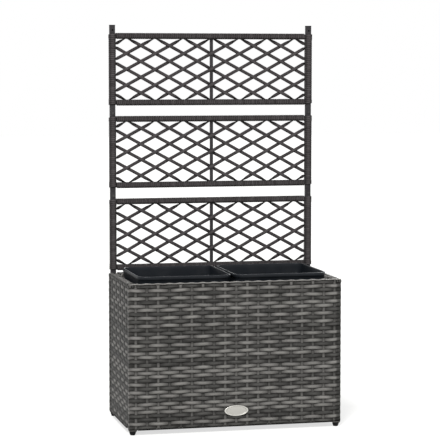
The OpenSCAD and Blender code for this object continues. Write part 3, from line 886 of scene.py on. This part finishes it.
def helix(start, axes, half_side, span, half_thick, swell=None):
    """Sweep of a flat strand wound on a square tube with rounded corners.

    With a the angle, the middle line is start + axis * span * a / (2 pi turns)
    + r(a) * (first cos a + second sin a), where r is a superellipse. swell gives extra radius at
    a distance along the axis.
    """
    axis, first, second = axes
    pitch = bpy.context.scene.trellis_sizes.wound_pitch
    turns = round(span / pitch)
    steps = TURN_STEPS * turns + 1
    a = np.linspace(0, 2 * np.pi * turns, steps) + np.pi / 4
    along = np.linspace(pitch / 2, span - pitch / 2, steps)
    c, s = np.cos(a), np.sin(a)
    r = superellipse(a, half_side + (swell(along) if swell else 0.0), TUBE_POWER)
    path = start + along[:, None] * axis + (r * c)[:, None] * first + (r * s)[:, None] * second
    out = unit(signed_power(c, TUBE_POWER - 1)[:, None] * first
               + signed_power(s, TUBE_POWER - 1)[:, None] * second)
    return sweep(path[None], axis, out[None], pitch / 2 * TRELLIS_OVERLAP, half_thick,
                 points=WOUND_POINTS)


class BED_OT_windings(bpy.types.Operator):
    """Wind the posts and rails of the trellis panels"""

    bl_idname = "bed.windings"
    bl_label = "Trellis windings"

    def execute(self, context):
        for level in LEVELS:
            low, high = corners(f"{level}_post_wraps")
            rail_low, rail_high = corners(f"{level}_rail_wraps")
            post, rail = (high[1] - low[1]) / 2, (rail_high[1] - rail_low[1]) / 2
            y = (high[1] + low[1]) / 2
            tall = high[2] - low[2]

            def swell(along):
                """Extra turns at both rails, with a smooth edge."""
                past = 2 * rail + EXTRA_PAST - np.minimum(along, tall - along)
                return context.scene.trellis_sizes.extra_turn * ease(past / EXTRA_FADE)

            starts = [(x, y, low[2]) for x in (low[0] + post, high[0] - post)]
            self.wind(f"{level}_post", starts, (UP, X, Y), post, tall, *ON_POST, swell)
            starts = [(rail_low[0], y, z) for z in (rail_low[2] + rail, rail_high[2] - rail)]
            wide = rail_high[0] - rail_low[0]
            self.wind(f"{level}_rail", starts, (X, Y, UP), rail, wide, *ON_RAIL)
        return {"FINISHED"}

    def wind(self, tube, starts, axes, half_side, span, inside, half_thick, lightness, swell=None):
        """Makes the piece of two tubes' windings.

        Turns lie open on the flats of a tube and are darkened by painted shade at its corners, by
        |2 cos a sin a|^3 with a the angle round the tube. Each half turn differs a little.
        """
        sweeps = [helix(np.array(start), axes, half_side - inside, span, half_thick, swell)
                  for start in starts]
        count = len(sweeps[0][0])
        rng = np.random.default_rng(count)
        steps = count // WOUND_POINTS
        half_turn = TURN_STEPS // 2
        a = np.arange(steps) * 2 * np.pi / TURN_STEPS + np.pi / 4
        # Painted shade at the tube's corners, carried in the depth of the tone
        corner = np.abs(np.sin(2 * a)) ** 3
        tones = []
        for _ in sweeps:
            draws = rng.normal(0, HALF_TURN_SPREAD, steps // half_turn + 1)
            tone = lightness + np.repeat(draws, half_turn)[:steps]
            tones.append(np.stack([tone, np.zeros(steps), corner], axis=-1)[None])
        strand_piece(f"{tube}_windings", "trellis_strand", sweeps, tones, (f"{tube}_wraps",))


class BED_OT_nets(bpy.types.Operator):
    """Interlace the strands of the trellis panels"""

    bl_idname = "bed.nets"
    bl_label = "Trellis nets"

    def execute(self, context):
        for level in LEVELS:
            strand_piece(f"{level}_net", "trellis_strand",
                         *zip(*[net(level, way) for way in (-1, 1)]), (f"{level}_lattice",))
        return {"FINISHED"}


def net(level, way):
    """Sweep and tones of the strands of a panel that lean one way.

    A strand is the line z = c + way * x * rise / run, cut to the window, and it strays from it
    by a slow sine as it was laid by hand. At each crossing it swings to the front or the back:
    y = -way * a * cos(pi x / run), where a grows at the stile, so that the strands pass in
    front of it and behind it. Near the rails and posts a strand turns on edge, where painted shade
    darkens it. A painted light makes it lighter where it lies in front.
    """
    sizes = bpy.context.scene.trellis_sizes
    low, high = corners(f"{level}_lattice")
    post_low, post_high = corners(f"{level}_post_wraps")
    span = post_high[0] - (post_high[1] - post_low[1]) / 2
    half_window = (high[2] - low[2]) / 2
    rise = 2 * (half_window + TUCK) / HALF_ROWS
    run = span / HALF_COLUMNS
    end_x = high[0] + PAST_POST
    end_z = half_window + PAST_RAIL
    slope = rise / run
    most = int((slope * end_x + end_z) / (2 * rise))
    c = np.arange(-most, most + 1) * 2 * rise
    # A strand that would only clip a corner of the window is left out
    c = c[np.abs(c) < slope * end_x + end_z - LEAST_REACH]
    # Where each line enters and leaves the window
    edge = np.stack([(-end_z - c) / (way * slope), (end_z - c) / (way * slope)])
    x0 = np.maximum(edge.min(0), -end_x)
    x1 = np.minimum(edge.max(0), end_x)
    x = x0[:, None] + (x1 - x0)[:, None] * np.linspace(0, 1, NET_STEPS)
    rng = np.random.default_rng(LEVELS.index(level) * 2 + (way + 1) // 2)
    phase = rng.uniform(0, 2 * np.pi, (len(c), 1))
    z = c[:, None] + way * slope * x + sizes.net_stray * np.sin(x / STRAY_RADIAN + phase)
    near = ease(1 - np.minimum((end_z - np.abs(z)) / NEAR_RAIL, (end_x - np.abs(x)) / NEAR_POST))
    side_to_side = way * np.cos(np.pi * x / run)
    swing = NET_SWING * (1 - near) + STILE_SWING * np.exp(-(x / STILE_REACH) ** 2)
    y = (post_high[1] + post_low[1]) / 2 - swing * side_to_side
    path = np.stack([x, y, z + (low[2] + high[2]) / 2], axis=-1)
    ahead = unit(np.gradient(path, axis=1))
    flat = unit(np.stack([-ahead[..., 2], np.zeros_like(x), ahead[..., 0]], axis=-1))
    twist = (EDGE_TWIST * near)[..., None]
    across = flat * np.cos(twist) + np.cross(ahead, flat) * np.sin(twist)
    # Painted light where the strand lies in front, and painted shade where it is on edge
    front = np.clip(side_to_side, 0, 1) ** 3
    tone = np.stack([NET_TONE + NET_FRONT_PAINTED_LIGHT * front, np.zeros_like(x),
                     NET_EDGE_SHADE * near], axis=-1)
    return sweep(path, across, np.cross(across, ahead), sizes.net_width / 2,
                 sizes.net_thick / 2), tone


# Pots

def rounded_outline(half_x, half_y, radius, corner_steps=8, side_steps=6):
    """Outlines of rectangles with rounded corners, as x and y arrays (ring, point).

    A corner is the arc (sx * (half_x - r) + r cos a, sy * (half_y - r) + r sin a), with sx and
    sy the signs of its quarter, and a straight line goes from its end to the next arc.
    """
    a = np.radians(90 * np.arange(4)[:, None] + np.linspace(0, 90, corner_steps + 1))
    t = np.linspace(0, 1, side_steps + 1)[1:-1]

    def coordinate(half, signs, wave):
        """One coordinate of the arcs, as (ring, quarter, step), and of the lines after them."""
        flat_half = (half - radius)[:, None, None] * np.array(signs)[:, None]
        arcs = flat_half + radius[:, None, None] * wave
        stop, start = arcs[..., -1:], np.roll(arcs[..., :1], -1, axis=1)
        lines = stop + (start - stop) * t
        return np.concatenate([arcs, lines], axis=-1).reshape(len(half), -1)

    return (coordinate(half_x, (1, -1, -1, 1), np.cos(a)),
            coordinate(half_y, (1, 1, -1, -1), np.sin(a)))


def pot_mesh(name, node):
    """Moulded pot: a section of (inset, height) carried round a rectangle with round corners."""
    sizes = bpy.context.scene.pot_sizes
    low, high = corners(node)
    half_x, half_y, _ = (high - low) / 2
    tall = high[2] - low[2]
    bead, wall = sizes.bead, sizes.wall
    band = tall - sizes.band

    def leaning(z):
        """Inset of the wall's outside at a height."""
        return bead + sizes.lean * (1 - z / tall)

    def edge(inset, height, offsets):
        """Points of a round edge from a table in millimetres."""
        return [(inset + i * MM, height + h * MM) for i, h in offsets]

    # From the middle of the underside, up the outside, over the rim and down the inside
    middle_inset = half_y - 1 * MM
    section = np.array([
        (middle_inset, 0.0), (half_y / 2, 0.0),
        *edge(leaning(0), 0.0, FOOT_OUTSIDE),
        (leaning(4 * MM), 4 * MM),
        *[(leaning(z), z) for z in np.linspace(0.1, 0.94, 8) * band],
        (leaning(band) + 0.1 * MM, band - 1.2 * MM), (bead, band - 0.2 * MM),
        *edge(0.0, band, UNDER_BAND),
        *edge(0.0, tall, BAND_OUTSIDE),
        *edge(bead + wall, tall, BAND_INSIDE),
        *[(leaning(z) + wall, z) for z in np.linspace(0.95, 0.04, 8) * tall],
        *edge(leaning(0) + wall, wall, FOOT_INSIDE),
        (half_y / 2, wall), (middle_inset, wall)])
    inset, z = section.T
    radius = np.maximum(sizes.corner - inset, 0.4 * MM)
    x, y = rounded_outline(half_x - inset, half_y - inset, radius)
    middle = (low + high) / 2
    heights = np.broadcast_to((z + low[2])[:, None], x.shape)
    return closed_mesh(name, np.stack([x + middle[0], y + middle[1], heights], axis=-1)[None])


def drill(target, centres, low, high, radius):
    """Cuts round holes through a piece, with a cutter of prisms that is removed again."""
    a = np.linspace(0, 2 * np.pi, 24, endpoint=False)
    ring = radius * np.stack([np.cos(a), np.sin(a)], axis=-1)
    points = np.empty((len(centres), 2, len(a), 3))
    points[..., :2] = (centres[:, None, :] + ring)[:, None]
    points[..., 2] = np.array([low, high])[:, None]
    mesh = closed_mesh("drain_cutter", points)
    cutter = put("drain_cutter", mesh)
    cut = target.modifiers.new("drain_holes", "BOOLEAN")
    cut.operation = "DIFFERENCE"
    cut.solver = "EXACT"
    cut.object = cutter
    with bpy.context.temp_override(object=target, active_object=target):
        bpy.ops.object.modifier_apply(modifier=cut.name)
    bpy.data.objects.remove(cutter)
    bpy.data.meshes.remove(mesh)
    # The cut leaves flat faces with holes, whose triangles may have no area
    drilled = bmesh.new()
    drilled.from_mesh(target.data)
    bmesh.ops.triangulate(drilled, faces=[f for f in drilled.faces if len(f.verts) > 4])
    bmesh.ops.dissolve_degenerate(drilled, dist=0.001 * MM, edges=drilled.edges)
    drilled.to_mesh(target.data)
    drilled.free()
    # The edges of the holes stay crisp, while the round edges of the pot are smooth
    target.data.set_sharp_from_angle(angle=math.radians(80))


class BED_OT_pots(bpy.types.Operator):
    """Mould the two lift-out pots"""

    bl_idname = "bed.pots"
    bl_label = "Pots"

    def execute(self, context):
        sizes = context.scene.pot_sizes
        past = 2 * MM
        for name, body in (("pot_left", "left_pot"), ("pot_right", "right_pot")):
            low, high = corners(name)
            made = piece(f"{body}_shell", pot_mesh(f"{body}_shell", name),
                         finishes()["pot_plastic"], body, (name,))
            # One hole in the middle, and four set half as far apart from front to rear
            offsets = np.array([(0, 0)] + [(i, j / 2) for i in (-1, 1) for j in (-1, 1)])
            centres = ((low + high) / 2)[:2] + offsets * sizes.drain_offset
            drill(made, centres, low[2] - past, low[2] + sizes.wall + past, sizes.drain / 2)
        return {"FINISHED"}


# Badge

class BED_OT_badge(bpy.types.Operator):
    """Press the bare oval badge"""

    bl_idname = "bed.badge"
    bl_label = "Badge"

    def execute(self, context):
        # Point = centre + share * half size * (cos a, sin a), at the section's height
        low, high = corners("badge")
        half, centre = (high - low) / 2, (high + low) / 2
        share, height = BADGE_SECTION[:, :1], BADGE_SECTION[:, 1:]
        a = np.linspace(0, 2 * np.pi, BADGE_POINTS, endpoint=False)
        y = high[1] - (high[1] - low[1]) * height
        points = np.stack([centre[0] + half[0] * share * np.cos(a),
                           np.broadcast_to(y, (len(share), len(a))),
                           centre[2] + half[2] * share * np.sin(a)], axis=-1)
        mesh = closed_mesh("badge_plate", points[None])
        from_middle = mesh.attributes.new("from_middle", "FLOAT", "POINT")
        from_middle.data.foreach_set("value", np.repeat(share.ravel(), len(a)))
        piece("badge_plate", mesh, finishes()["badge"], "planter", ("badge",))
        return {"FINISHED"}


# Finishes

def add(tree, kind, inputs=(), **settings):
    """Adds a node with its settings, and its inputs by name or in their order.

    Each input is a value, an output that is linked to it, or a node whose first output is.
    """
    node = tree.nodes.new("ShaderNode" + kind)
    for name, value in settings.items():
        setattr(node, name, value)
    for name, value in (inputs.items() if isinstance(inputs, dict) else enumerate(inputs)):
        if isinstance(value, (bpy.types.Node, bpy.types.NodeSocket)):
            source = value.outputs[0] if isinstance(value, bpy.types.Node) else value
            tree.links.new(source, node.inputs[name])
        else:
            node.inputs[name].default_value = value
    return node


def new_finish(name):
    """An empty material and its tree."""
    material = bpy.data.materials.new(name)
    material.use_nodes = True
    material.node_tree.nodes.clear()
    return material, material.node_tree


def surface(tree, base, rough, height, strength, distance, **constants):
    """Closes a material: a bump of some height, the shader with its constants, and the output."""
    bump = add(tree, "Bump", {"Height": height, "Strength": strength, "Distance": distance})
    shader = add(tree, "BsdfPrincipled", {"Base Color": base, "Roughness": rough, "Normal": bump})
    for name, value in constants.items():
        shader.inputs[name.replace("_", " ")].default_value = value
    add(tree, "OutputMaterial", {"Surface": shader})


def strand_finish(name, dark, light, gap, roughness, edge_shade, deep_shade):
    """Extruded polyethylene strand, grey through and through.

    Its fine lengthwise ribs from the die give a soft sheen broken in streaks, and each
    stretch is a little warmer or cooler than the next. The last two arguments are how far the
    colour goes to that of the gap, as painted shade, on the strand's edges and deep in the weave.
    """
    material, tree = new_finish(name)
    place = add(tree, "Attribute", attribute_name="strand_place").outputs["Vector"]
    tone = add(tree, "Attribute", attribute_name="strand_tone").outputs["Vector"]
    across = add(tree, "SeparateXYZ", [place]).outputs["Y"]
    lightness, tint, depth = add(tree, "SeparateXYZ", [tone]).outputs
    # Ribs 1 mm apart on a 13 mm strand, drawn coarser than the real 0.3 mm so that they
    # show, and 50 mm long
    ribs = add(tree, "Mapping", {"Vector": place, "Scale": (1 / 0.050, 5.0, 1.0)})
    streaks = add(tree, "TexNoise", {"Vector": ribs, "Scale": 1.0, "Detail": 3.0,
                                     "Roughness": 0.6})
    # Slow change along a strand, 60 mm long
    slow = add(tree, "Mapping", {"Vector": place, "Scale": (1 / 0.060, 0.2, 3.0)})
    cloud = add(tree, "TexNoise", {"Vector": slow, "Scale": 1.0, "Detail": 1.0})
    # Lightness + 1.1 * (streaks - 0.5)
    shift = add(tree, "Math", [streaks, 0.5], operation="SUBTRACT")
    streaky = add(tree, "Math", [shift, 1.1, lightness], operation="MULTIPLY_ADD")
    base = add(tree, "Mix", {"Factor": streaky, "A": dark, "B": light}, data_type="RGBA",
               clamp_factor=False)
    # A map range takes a value from one pair of ends to another
    warm = add(tree, "MapRange", [tint, -1.0, 1.0, 0.485, 0.515])
    shade = add(tree, "MapRange", [cloud, 0.3, 0.7, 0.90, 1.10])
    tinted = add(tree, "HueSaturation", {"Color": base.outputs["Result"], "Hue": warm,
                                         "Value": shade})
    # Painted shade darkens the edges of a strand, and its crown stays lightest
    off_crown = add(tree, "Math", [across], operation="ABSOLUTE")
    edge_unshaded = add(tree, "MapRange", [off_crown, 0.25, 0.9, 1.0, 1.0 - edge_shade],
                     interpolation_type="SMOOTHSTEP")
    # Painted shade also darkens what lies deep between the strands
    deep_unshaded = add(tree, "MapRange", [depth, 0.15, 0.85, 1.0, 1.0 - deep_shade])
    unshaded_share = add(tree, "Math", [edge_unshaded, deep_unshaded], operation="MULTIPLY")
    # The colour goes to that of the gap as painted shade
    painted_shade_colour = add(tree, "Mix", {"Factor": unshaded_share, "A": gap, "B": tinted}, data_type="RGBA")
    rough = add(tree, "MapRange", [streaks, 0.0, 1.0, roughness - 0.08, roughness + 0.08])
    surface(tree, painted_shade_colour.outputs["Result"], rough, streaks, 0.35, 0.4 * MM, IOR=1.51,
            Specular_IOR_Level=0.07)
    return material


def coated_finish(name, base, roughness, metallic, grain, depth, worn, gloss):
    """A coated, plated or moulded surface.

    grain is the size in metres of its fine relief: orange peel on powder coat, spark texture
    on mouldings, crystals on zinc. depth is the height of that relief. worn is how much
    lighter its broad patches are than the rest, and gloss the level of its specular sheen.
    """
    material, tree = new_finish(name)
    where = add(tree, "TexCoord").outputs["Object"]
    relief = add(tree, "TexNoise", {"Vector": where, "Scale": 1 / grain, "Detail": 2.0,
                                    "Roughness": 0.55})
    # Patches 45 mm across, where the surface is handled and gathers dust
    patches = add(tree, "TexNoise", {"Vector": where, "Scale": 1 / 0.045, "Detail": 3.0})
    mask = add(tree, "MapRange", [patches, 0.42, 0.75])
    lighter = [v + (1 - v) * worn for v in base]
    tint = add(tree, "Mix", {"Factor": mask, "A": base, "B": lighter}, data_type="RGBA")
    rough = add(tree, "MapRange", [patches, 0.3, 0.7, roughness - 0.06, roughness + 0.07])
    surface(tree, tint.outputs["Result"], rough, relief, 0.5, depth, Metallic=metallic,
            Specular_IOR_Level=gloss)
    return material


def badge_finish(name, base, rim):
    """Satin aluminium, brushed along the badge: a soft grey sheen drawn out in fine lines.

    The rim is polished and lighter, partly as a painted highlight, with a dark line of painted
    shade in the groove at its foot.
    """
    material, tree = new_finish(name)
    where = add(tree, "TexCoord").outputs["Object"]
    # Brush lines 0.5 mm apart and 12 mm long, coarser than the real 0.1 mm so that they show
    brushed = add(tree, "Mapping", {"Vector": where, "Scale": (1 / 0.012, 1.0, 1 / 0.0005)})
    lines = add(tree, "TexNoise", {"Vector": brushed, "Scale": 1.0, "Detail": 2.0})
    rough = add(tree, "MapRange", [lines, 0.0, 1.0, 0.36, 0.52])
    share = add(tree, "Attribute", attribute_name="from_middle").outputs["Fac"]
    # The rim's lighter colour is polished metal and partly a painted highlight
    on_rim = add(tree, "MapRange", [share, 0.86, 0.90])
    metal = add(tree, "Mix", {"Factor": on_rim, "A": base, "B": rim}, data_type="RGBA")
    # Painted shade in the groove at the foot of the rim
    from_groove = add(tree, "Math", [share, 0.83], operation="SUBTRACT")
    groove = add(tree, "Math", [from_groove], operation="ABSOLUTE")
    groove_shade = add(tree, "MapRange", [groove, 0.0, 0.035, 0.7, 1.0])
    groove_shaded = add(tree, "HueSaturation", {"Color": metal.outputs["Result"], "Value": groove_shade})
    surface(tree, groove_shaded, rough, lines, 0.2, 0.05 * MM, Metallic=0.6)
    return material


# Name, roughness, metallic, size and height of the relief, wear and gloss of each coated,
# plated or moulded surface
COATED = {
    # Powder coat on steel tube: satin, with a fine orange peel
    "trellis_steel": ("steel_tube_powder_coated_charcoal", 0.6, 0.0, 1.2 * MM, 0.12 * MM,
                      0.02, 0.12),
    "box_steel": ("steel_tube_powder_coated_black", 0.6, 0.0, 1.2 * MM, 0.12 * MM, 0.015, 0.15),
    # Injection moulded polypropylene: smooth, a little waxy
    "pot_plastic": ("polypropylene_moulded_black", 0.45, 0.0, 0.8 * MM, 0.06 * MM, 0.008, 0.2),
    # Moulded polyethylene: softer and duller than the pots
    "foot_plastic": ("polyethylene_moulded_black", 0.6, 0.0, 1.0 * MM, 0.10 * MM, 0.01, 0.12),
    # Zinc plate: bright grey metal with faint crystals
    "zinc": ("steel_zinc_plated", 0.36, 1.0, 0.9 * MM, 0.05 * MM, 0.05, 0.5),
    # Blackened steel: dark metal with a dull shine
    "dark_screw": ("steel_blackened", 0.5, 0.2, 0.8 * MM, 0.05 * MM, 0.03, 0.2),
}

FINISHES = {}


def finishes():
    """The object's finishes by use, made on the first call."""
    if not FINISHES:
        colours = bpy.context.scene.finish_colours
        tint = {name: (*getattr(colours, name), 1.0) for name in FinishColours.__annotations__}
        # Flat extruded strand: matt with a lengthwise sheen
        FINISHES["box_strand"] = strand_finish(
            "polyethylene_strand_extruded_grey", tint["strand_dark"], tint["strand_light"],
            tint["strand_gap"], 0.52, 0.95, 0.8)
        FINISHES["trellis_strand"] = strand_finish(
            "polyethylene_strand_extruded_charcoal", tint["trellis_strand"],
            tint["trellis_crown"], tint["strand_gap"], 0.5, 0.35, 0.6)
        FINISHES["badge"] = badge_finish("aluminium_satin_brushed", tint["badge"],
                                         tint["badge_rim"])
        for use, (name, *values) in COATED.items():
            FINISHES[use] = coated_finish(name, tint[use], *values)
    return FINISHES


# Radius of the rounded edges of the parts that keep their CAD shape, and those parts
CARRIED = {
    "box_steel": (0.4 * MM, [f"{side}_frame" for side in WALLS]
                  + ["support_bar_front", "support_bar_rear"]
                  + [f"{level}_connector_{side}" for level in ("base", "middle", "upper")
                     for side in ("left", "right")]),
    "trellis_steel": (0.45 * MM, [f"{level}_frame" for level in LEVELS]),
    "foot_plastic": (0.5 * MM, ["foot_front_left", "foot_front_right", "foot_rear_left",
                                "foot_rear_right", "post_cap_left", "post_cap_right"]),
    "zinc": (0.3 * MM, ["support_bolts", "support_nuts", "corner_bolts", "corner_nuts"]),
    "dark_screw": (0.3 * MM, ["trellis_screws"]),
    "badge": (0.1 * MM, ["badge_pins"]),
}


class BED_OT_carried(bpy.types.Operator):
    """Finish the parts that keep their CAD shape, and round their edges"""

    bl_idname = "bed.carried"
    bl_label = "Tubes, fasteners, feet and caps"

    def execute(self, context):
        for use, (edge_round, names) in CARRIED.items():
            for name in names:
                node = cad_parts[name]
                node.data.materials.clear()
                node.data.materials.append(finishes()[use])
                weld = node.modifiers.new("join_facets", "WELD")
                weld.merge_threshold = 0.01 * MM
                edges = node.modifiers.new("soft_edges", "BEVEL")
                edges.width = edge_round
                edges.segments = 2
                edges.limit_method = "ANGLE"
                edges.angle_limit = math.radians(50)
        return {"FINISHED"}


# Stage

def seen_straight(tree):
    """Node that is 1 for what is seen by the camera, in a gloss or through glass."""
    path = add(tree, "LightPath").outputs
    straight = add(tree, "Math", [path["Is Camera Ray"], path["Is Glossy Ray"]],
                   operation="MAXIMUM")
    return add(tree, "Math", [straight, path["Is Transmission Ray"]], operation="MAXIMUM")


class BED_OT_stage(bpy.types.Operator):
    """Lay the floor, set the light and place the camera"""

    bl_idname = "bed.stage"
    bl_label = "Floor, light and camera"

    def execute(self, context):
        settings = context.scene.stage_settings
        self.floor((*settings.floor, 1.0))
        self.sky()
        for lamp in LAMPS:
            self.lamp(*lamp)
        self.camera(settings)
        context.scene.view_settings.view_transform = "Standard"
        return {"FINISHED"}

    def floor(self, tint):
        """A wide flat floor: a grid of (u, v) at height 0."""
        reach = np.linspace(-FLOOR_REACH, FLOOR_REACH, 9)
        u, v = np.meshgrid(reach, reach)
        index = np.arange(u.size).reshape(u.shape)
        quads = np.stack([index[:-1, :-1], index[:-1, 1:], index[1:, 1:], index[1:, :-1]], -1)
        mesh = faces_to_mesh("floor", np.stack([u, v, 0 * u], axis=-1), quads, smooth=False)
        material, tree = new_finish("studio_floor_matt_paint")
        # Seen straight or in a gloss the floor is lifted to white, and it keeps the shadow
        lift = add(tree, "Math", [seen_straight(tree), FLOOR_LIFT], operation="MULTIPLY")
        # Roller grain 3 mm across
        where = add(tree, "TexCoord").outputs["Object"]
        grain = add(tree, "TexNoise", {"Vector": where, "Scale": 300.0})
        bump = add(tree, "Bump", {"Height": grain, "Strength": 0.02, "Distance": 0.5 * MM})
        paint = add(tree, "BsdfDiffuse", {"Color": tint, "Normal": bump})
        glow = add(tree, "Emission", {"Color": WHITE, "Strength": lift})
        both = add(tree, "AddShader", [paint, glow])
        add(tree, "OutputMaterial", {"Surface": both})
        mesh.materials.append(material)
        put("floor", mesh)

    def sky(self):
        """Even light from all round, white where it is seen straight or in a gloss."""
        world = bpy.data.worlds.new("studio")
        bpy.context.scene.world = world
        world.use_nodes = True
        tree = world.node_tree
        tree.nodes.clear()
        soft = add(tree, "Background", {"Color": WHITE, "Strength": SKY_STRENGTH})
        white = add(tree, "Background", {"Color": WHITE, "Strength": 1.0})
        mix = add(tree, "MixShader", [seen_straight(tree), soft, white])
        add(tree, "OutputWorld", {"Surface": mix})

    def lamp(self, name, turn, strength, spread):
        """A distant soft lamp, turned by angles in degrees."""
        data = bpy.data.lights.new(name, "SUN")
        data.energy = strength
        data.angle = math.radians(spread)
        put(name, data).rotation_euler = [math.radians(a) for a in turn]

    def camera(self, settings):
        """A long lens at the photograph's place."""
        data = bpy.data.cameras.new("camera")
        data.sensor_width = 36.0
        data.lens = settings.camera_lens
        made = put("camera", data)
        made.location = settings.camera_place
        made.rotation_euler = (math.pi / 2 - settings.camera_tilt, 0.0, -settings.camera_turn)
        bpy.context.scene.camera = made


# Panel and start

class BED_PT_panel(bpy.types.Panel):
    """Sizes, colours and steps of the raised garden bed"""

    bl_idname = "BED_PT_panel"
    bl_label = "Raised garden bed"
    bl_space_type = "VIEW_3D"
    bl_region_type = "UI"
    bl_category = "Garden bed"

    def draw(self, context):
        for group, cls in SETTINGS.items():
            column = self.layout.column(align=True)
            column.label(text=group.replace("_", " ").capitalize())
            for name in cls.__annotations__:
                column.prop(getattr(context.scene, group), name)
        for operator in OPERATORS:
            self.layout.operator(operator.bl_idname)


SETTINGS = {
    "weave_sizes": WeaveSizes,
    "trellis_sizes": TrellisSizes,
    "pot_sizes": PotSizes,
    "finish_colours": FinishColours,
    "stage_settings": StageSettings,
}

OPERATORS = (BED_OT_stage, BED_OT_walls, BED_OT_rims, BED_OT_windings, BED_OT_nets, BED_OT_pots,
             BED_OT_badge, BED_OT_carried)


def register():
    """Registers the classes and puts the settings on the scene."""
    for cls in (*SETTINGS.values(), *OPERATORS, BED_PT_panel):
        bpy.utils.register_class(cls)
    for name, cls in SETTINGS.items():
        setattr(bpy.types.Scene, name, bpy.props.PointerProperty(type=cls))


def unregister():
    """Takes the settings and the classes away again."""
    for name in SETTINGS:
        delattr(bpy.types.Scene, name)
    for cls in (BED_PT_panel, *OPERATORS, *SETTINGS.values()):
        bpy.utils.unregister_class(cls)


def main():
    """Makes every piece in order."""
    register()
    bpy.ops.bed.stage()
    bpy.ops.bed.walls()
    bpy.ops.bed.rims()
    bpy.ops.bed.windings()
    bpy.ops.bed.nets()
    bpy.ops.bed.pots()
    bpy.ops.bed.badge()
    bpy.ops.bed.carried()


if __name__ == "__main__":
    main()
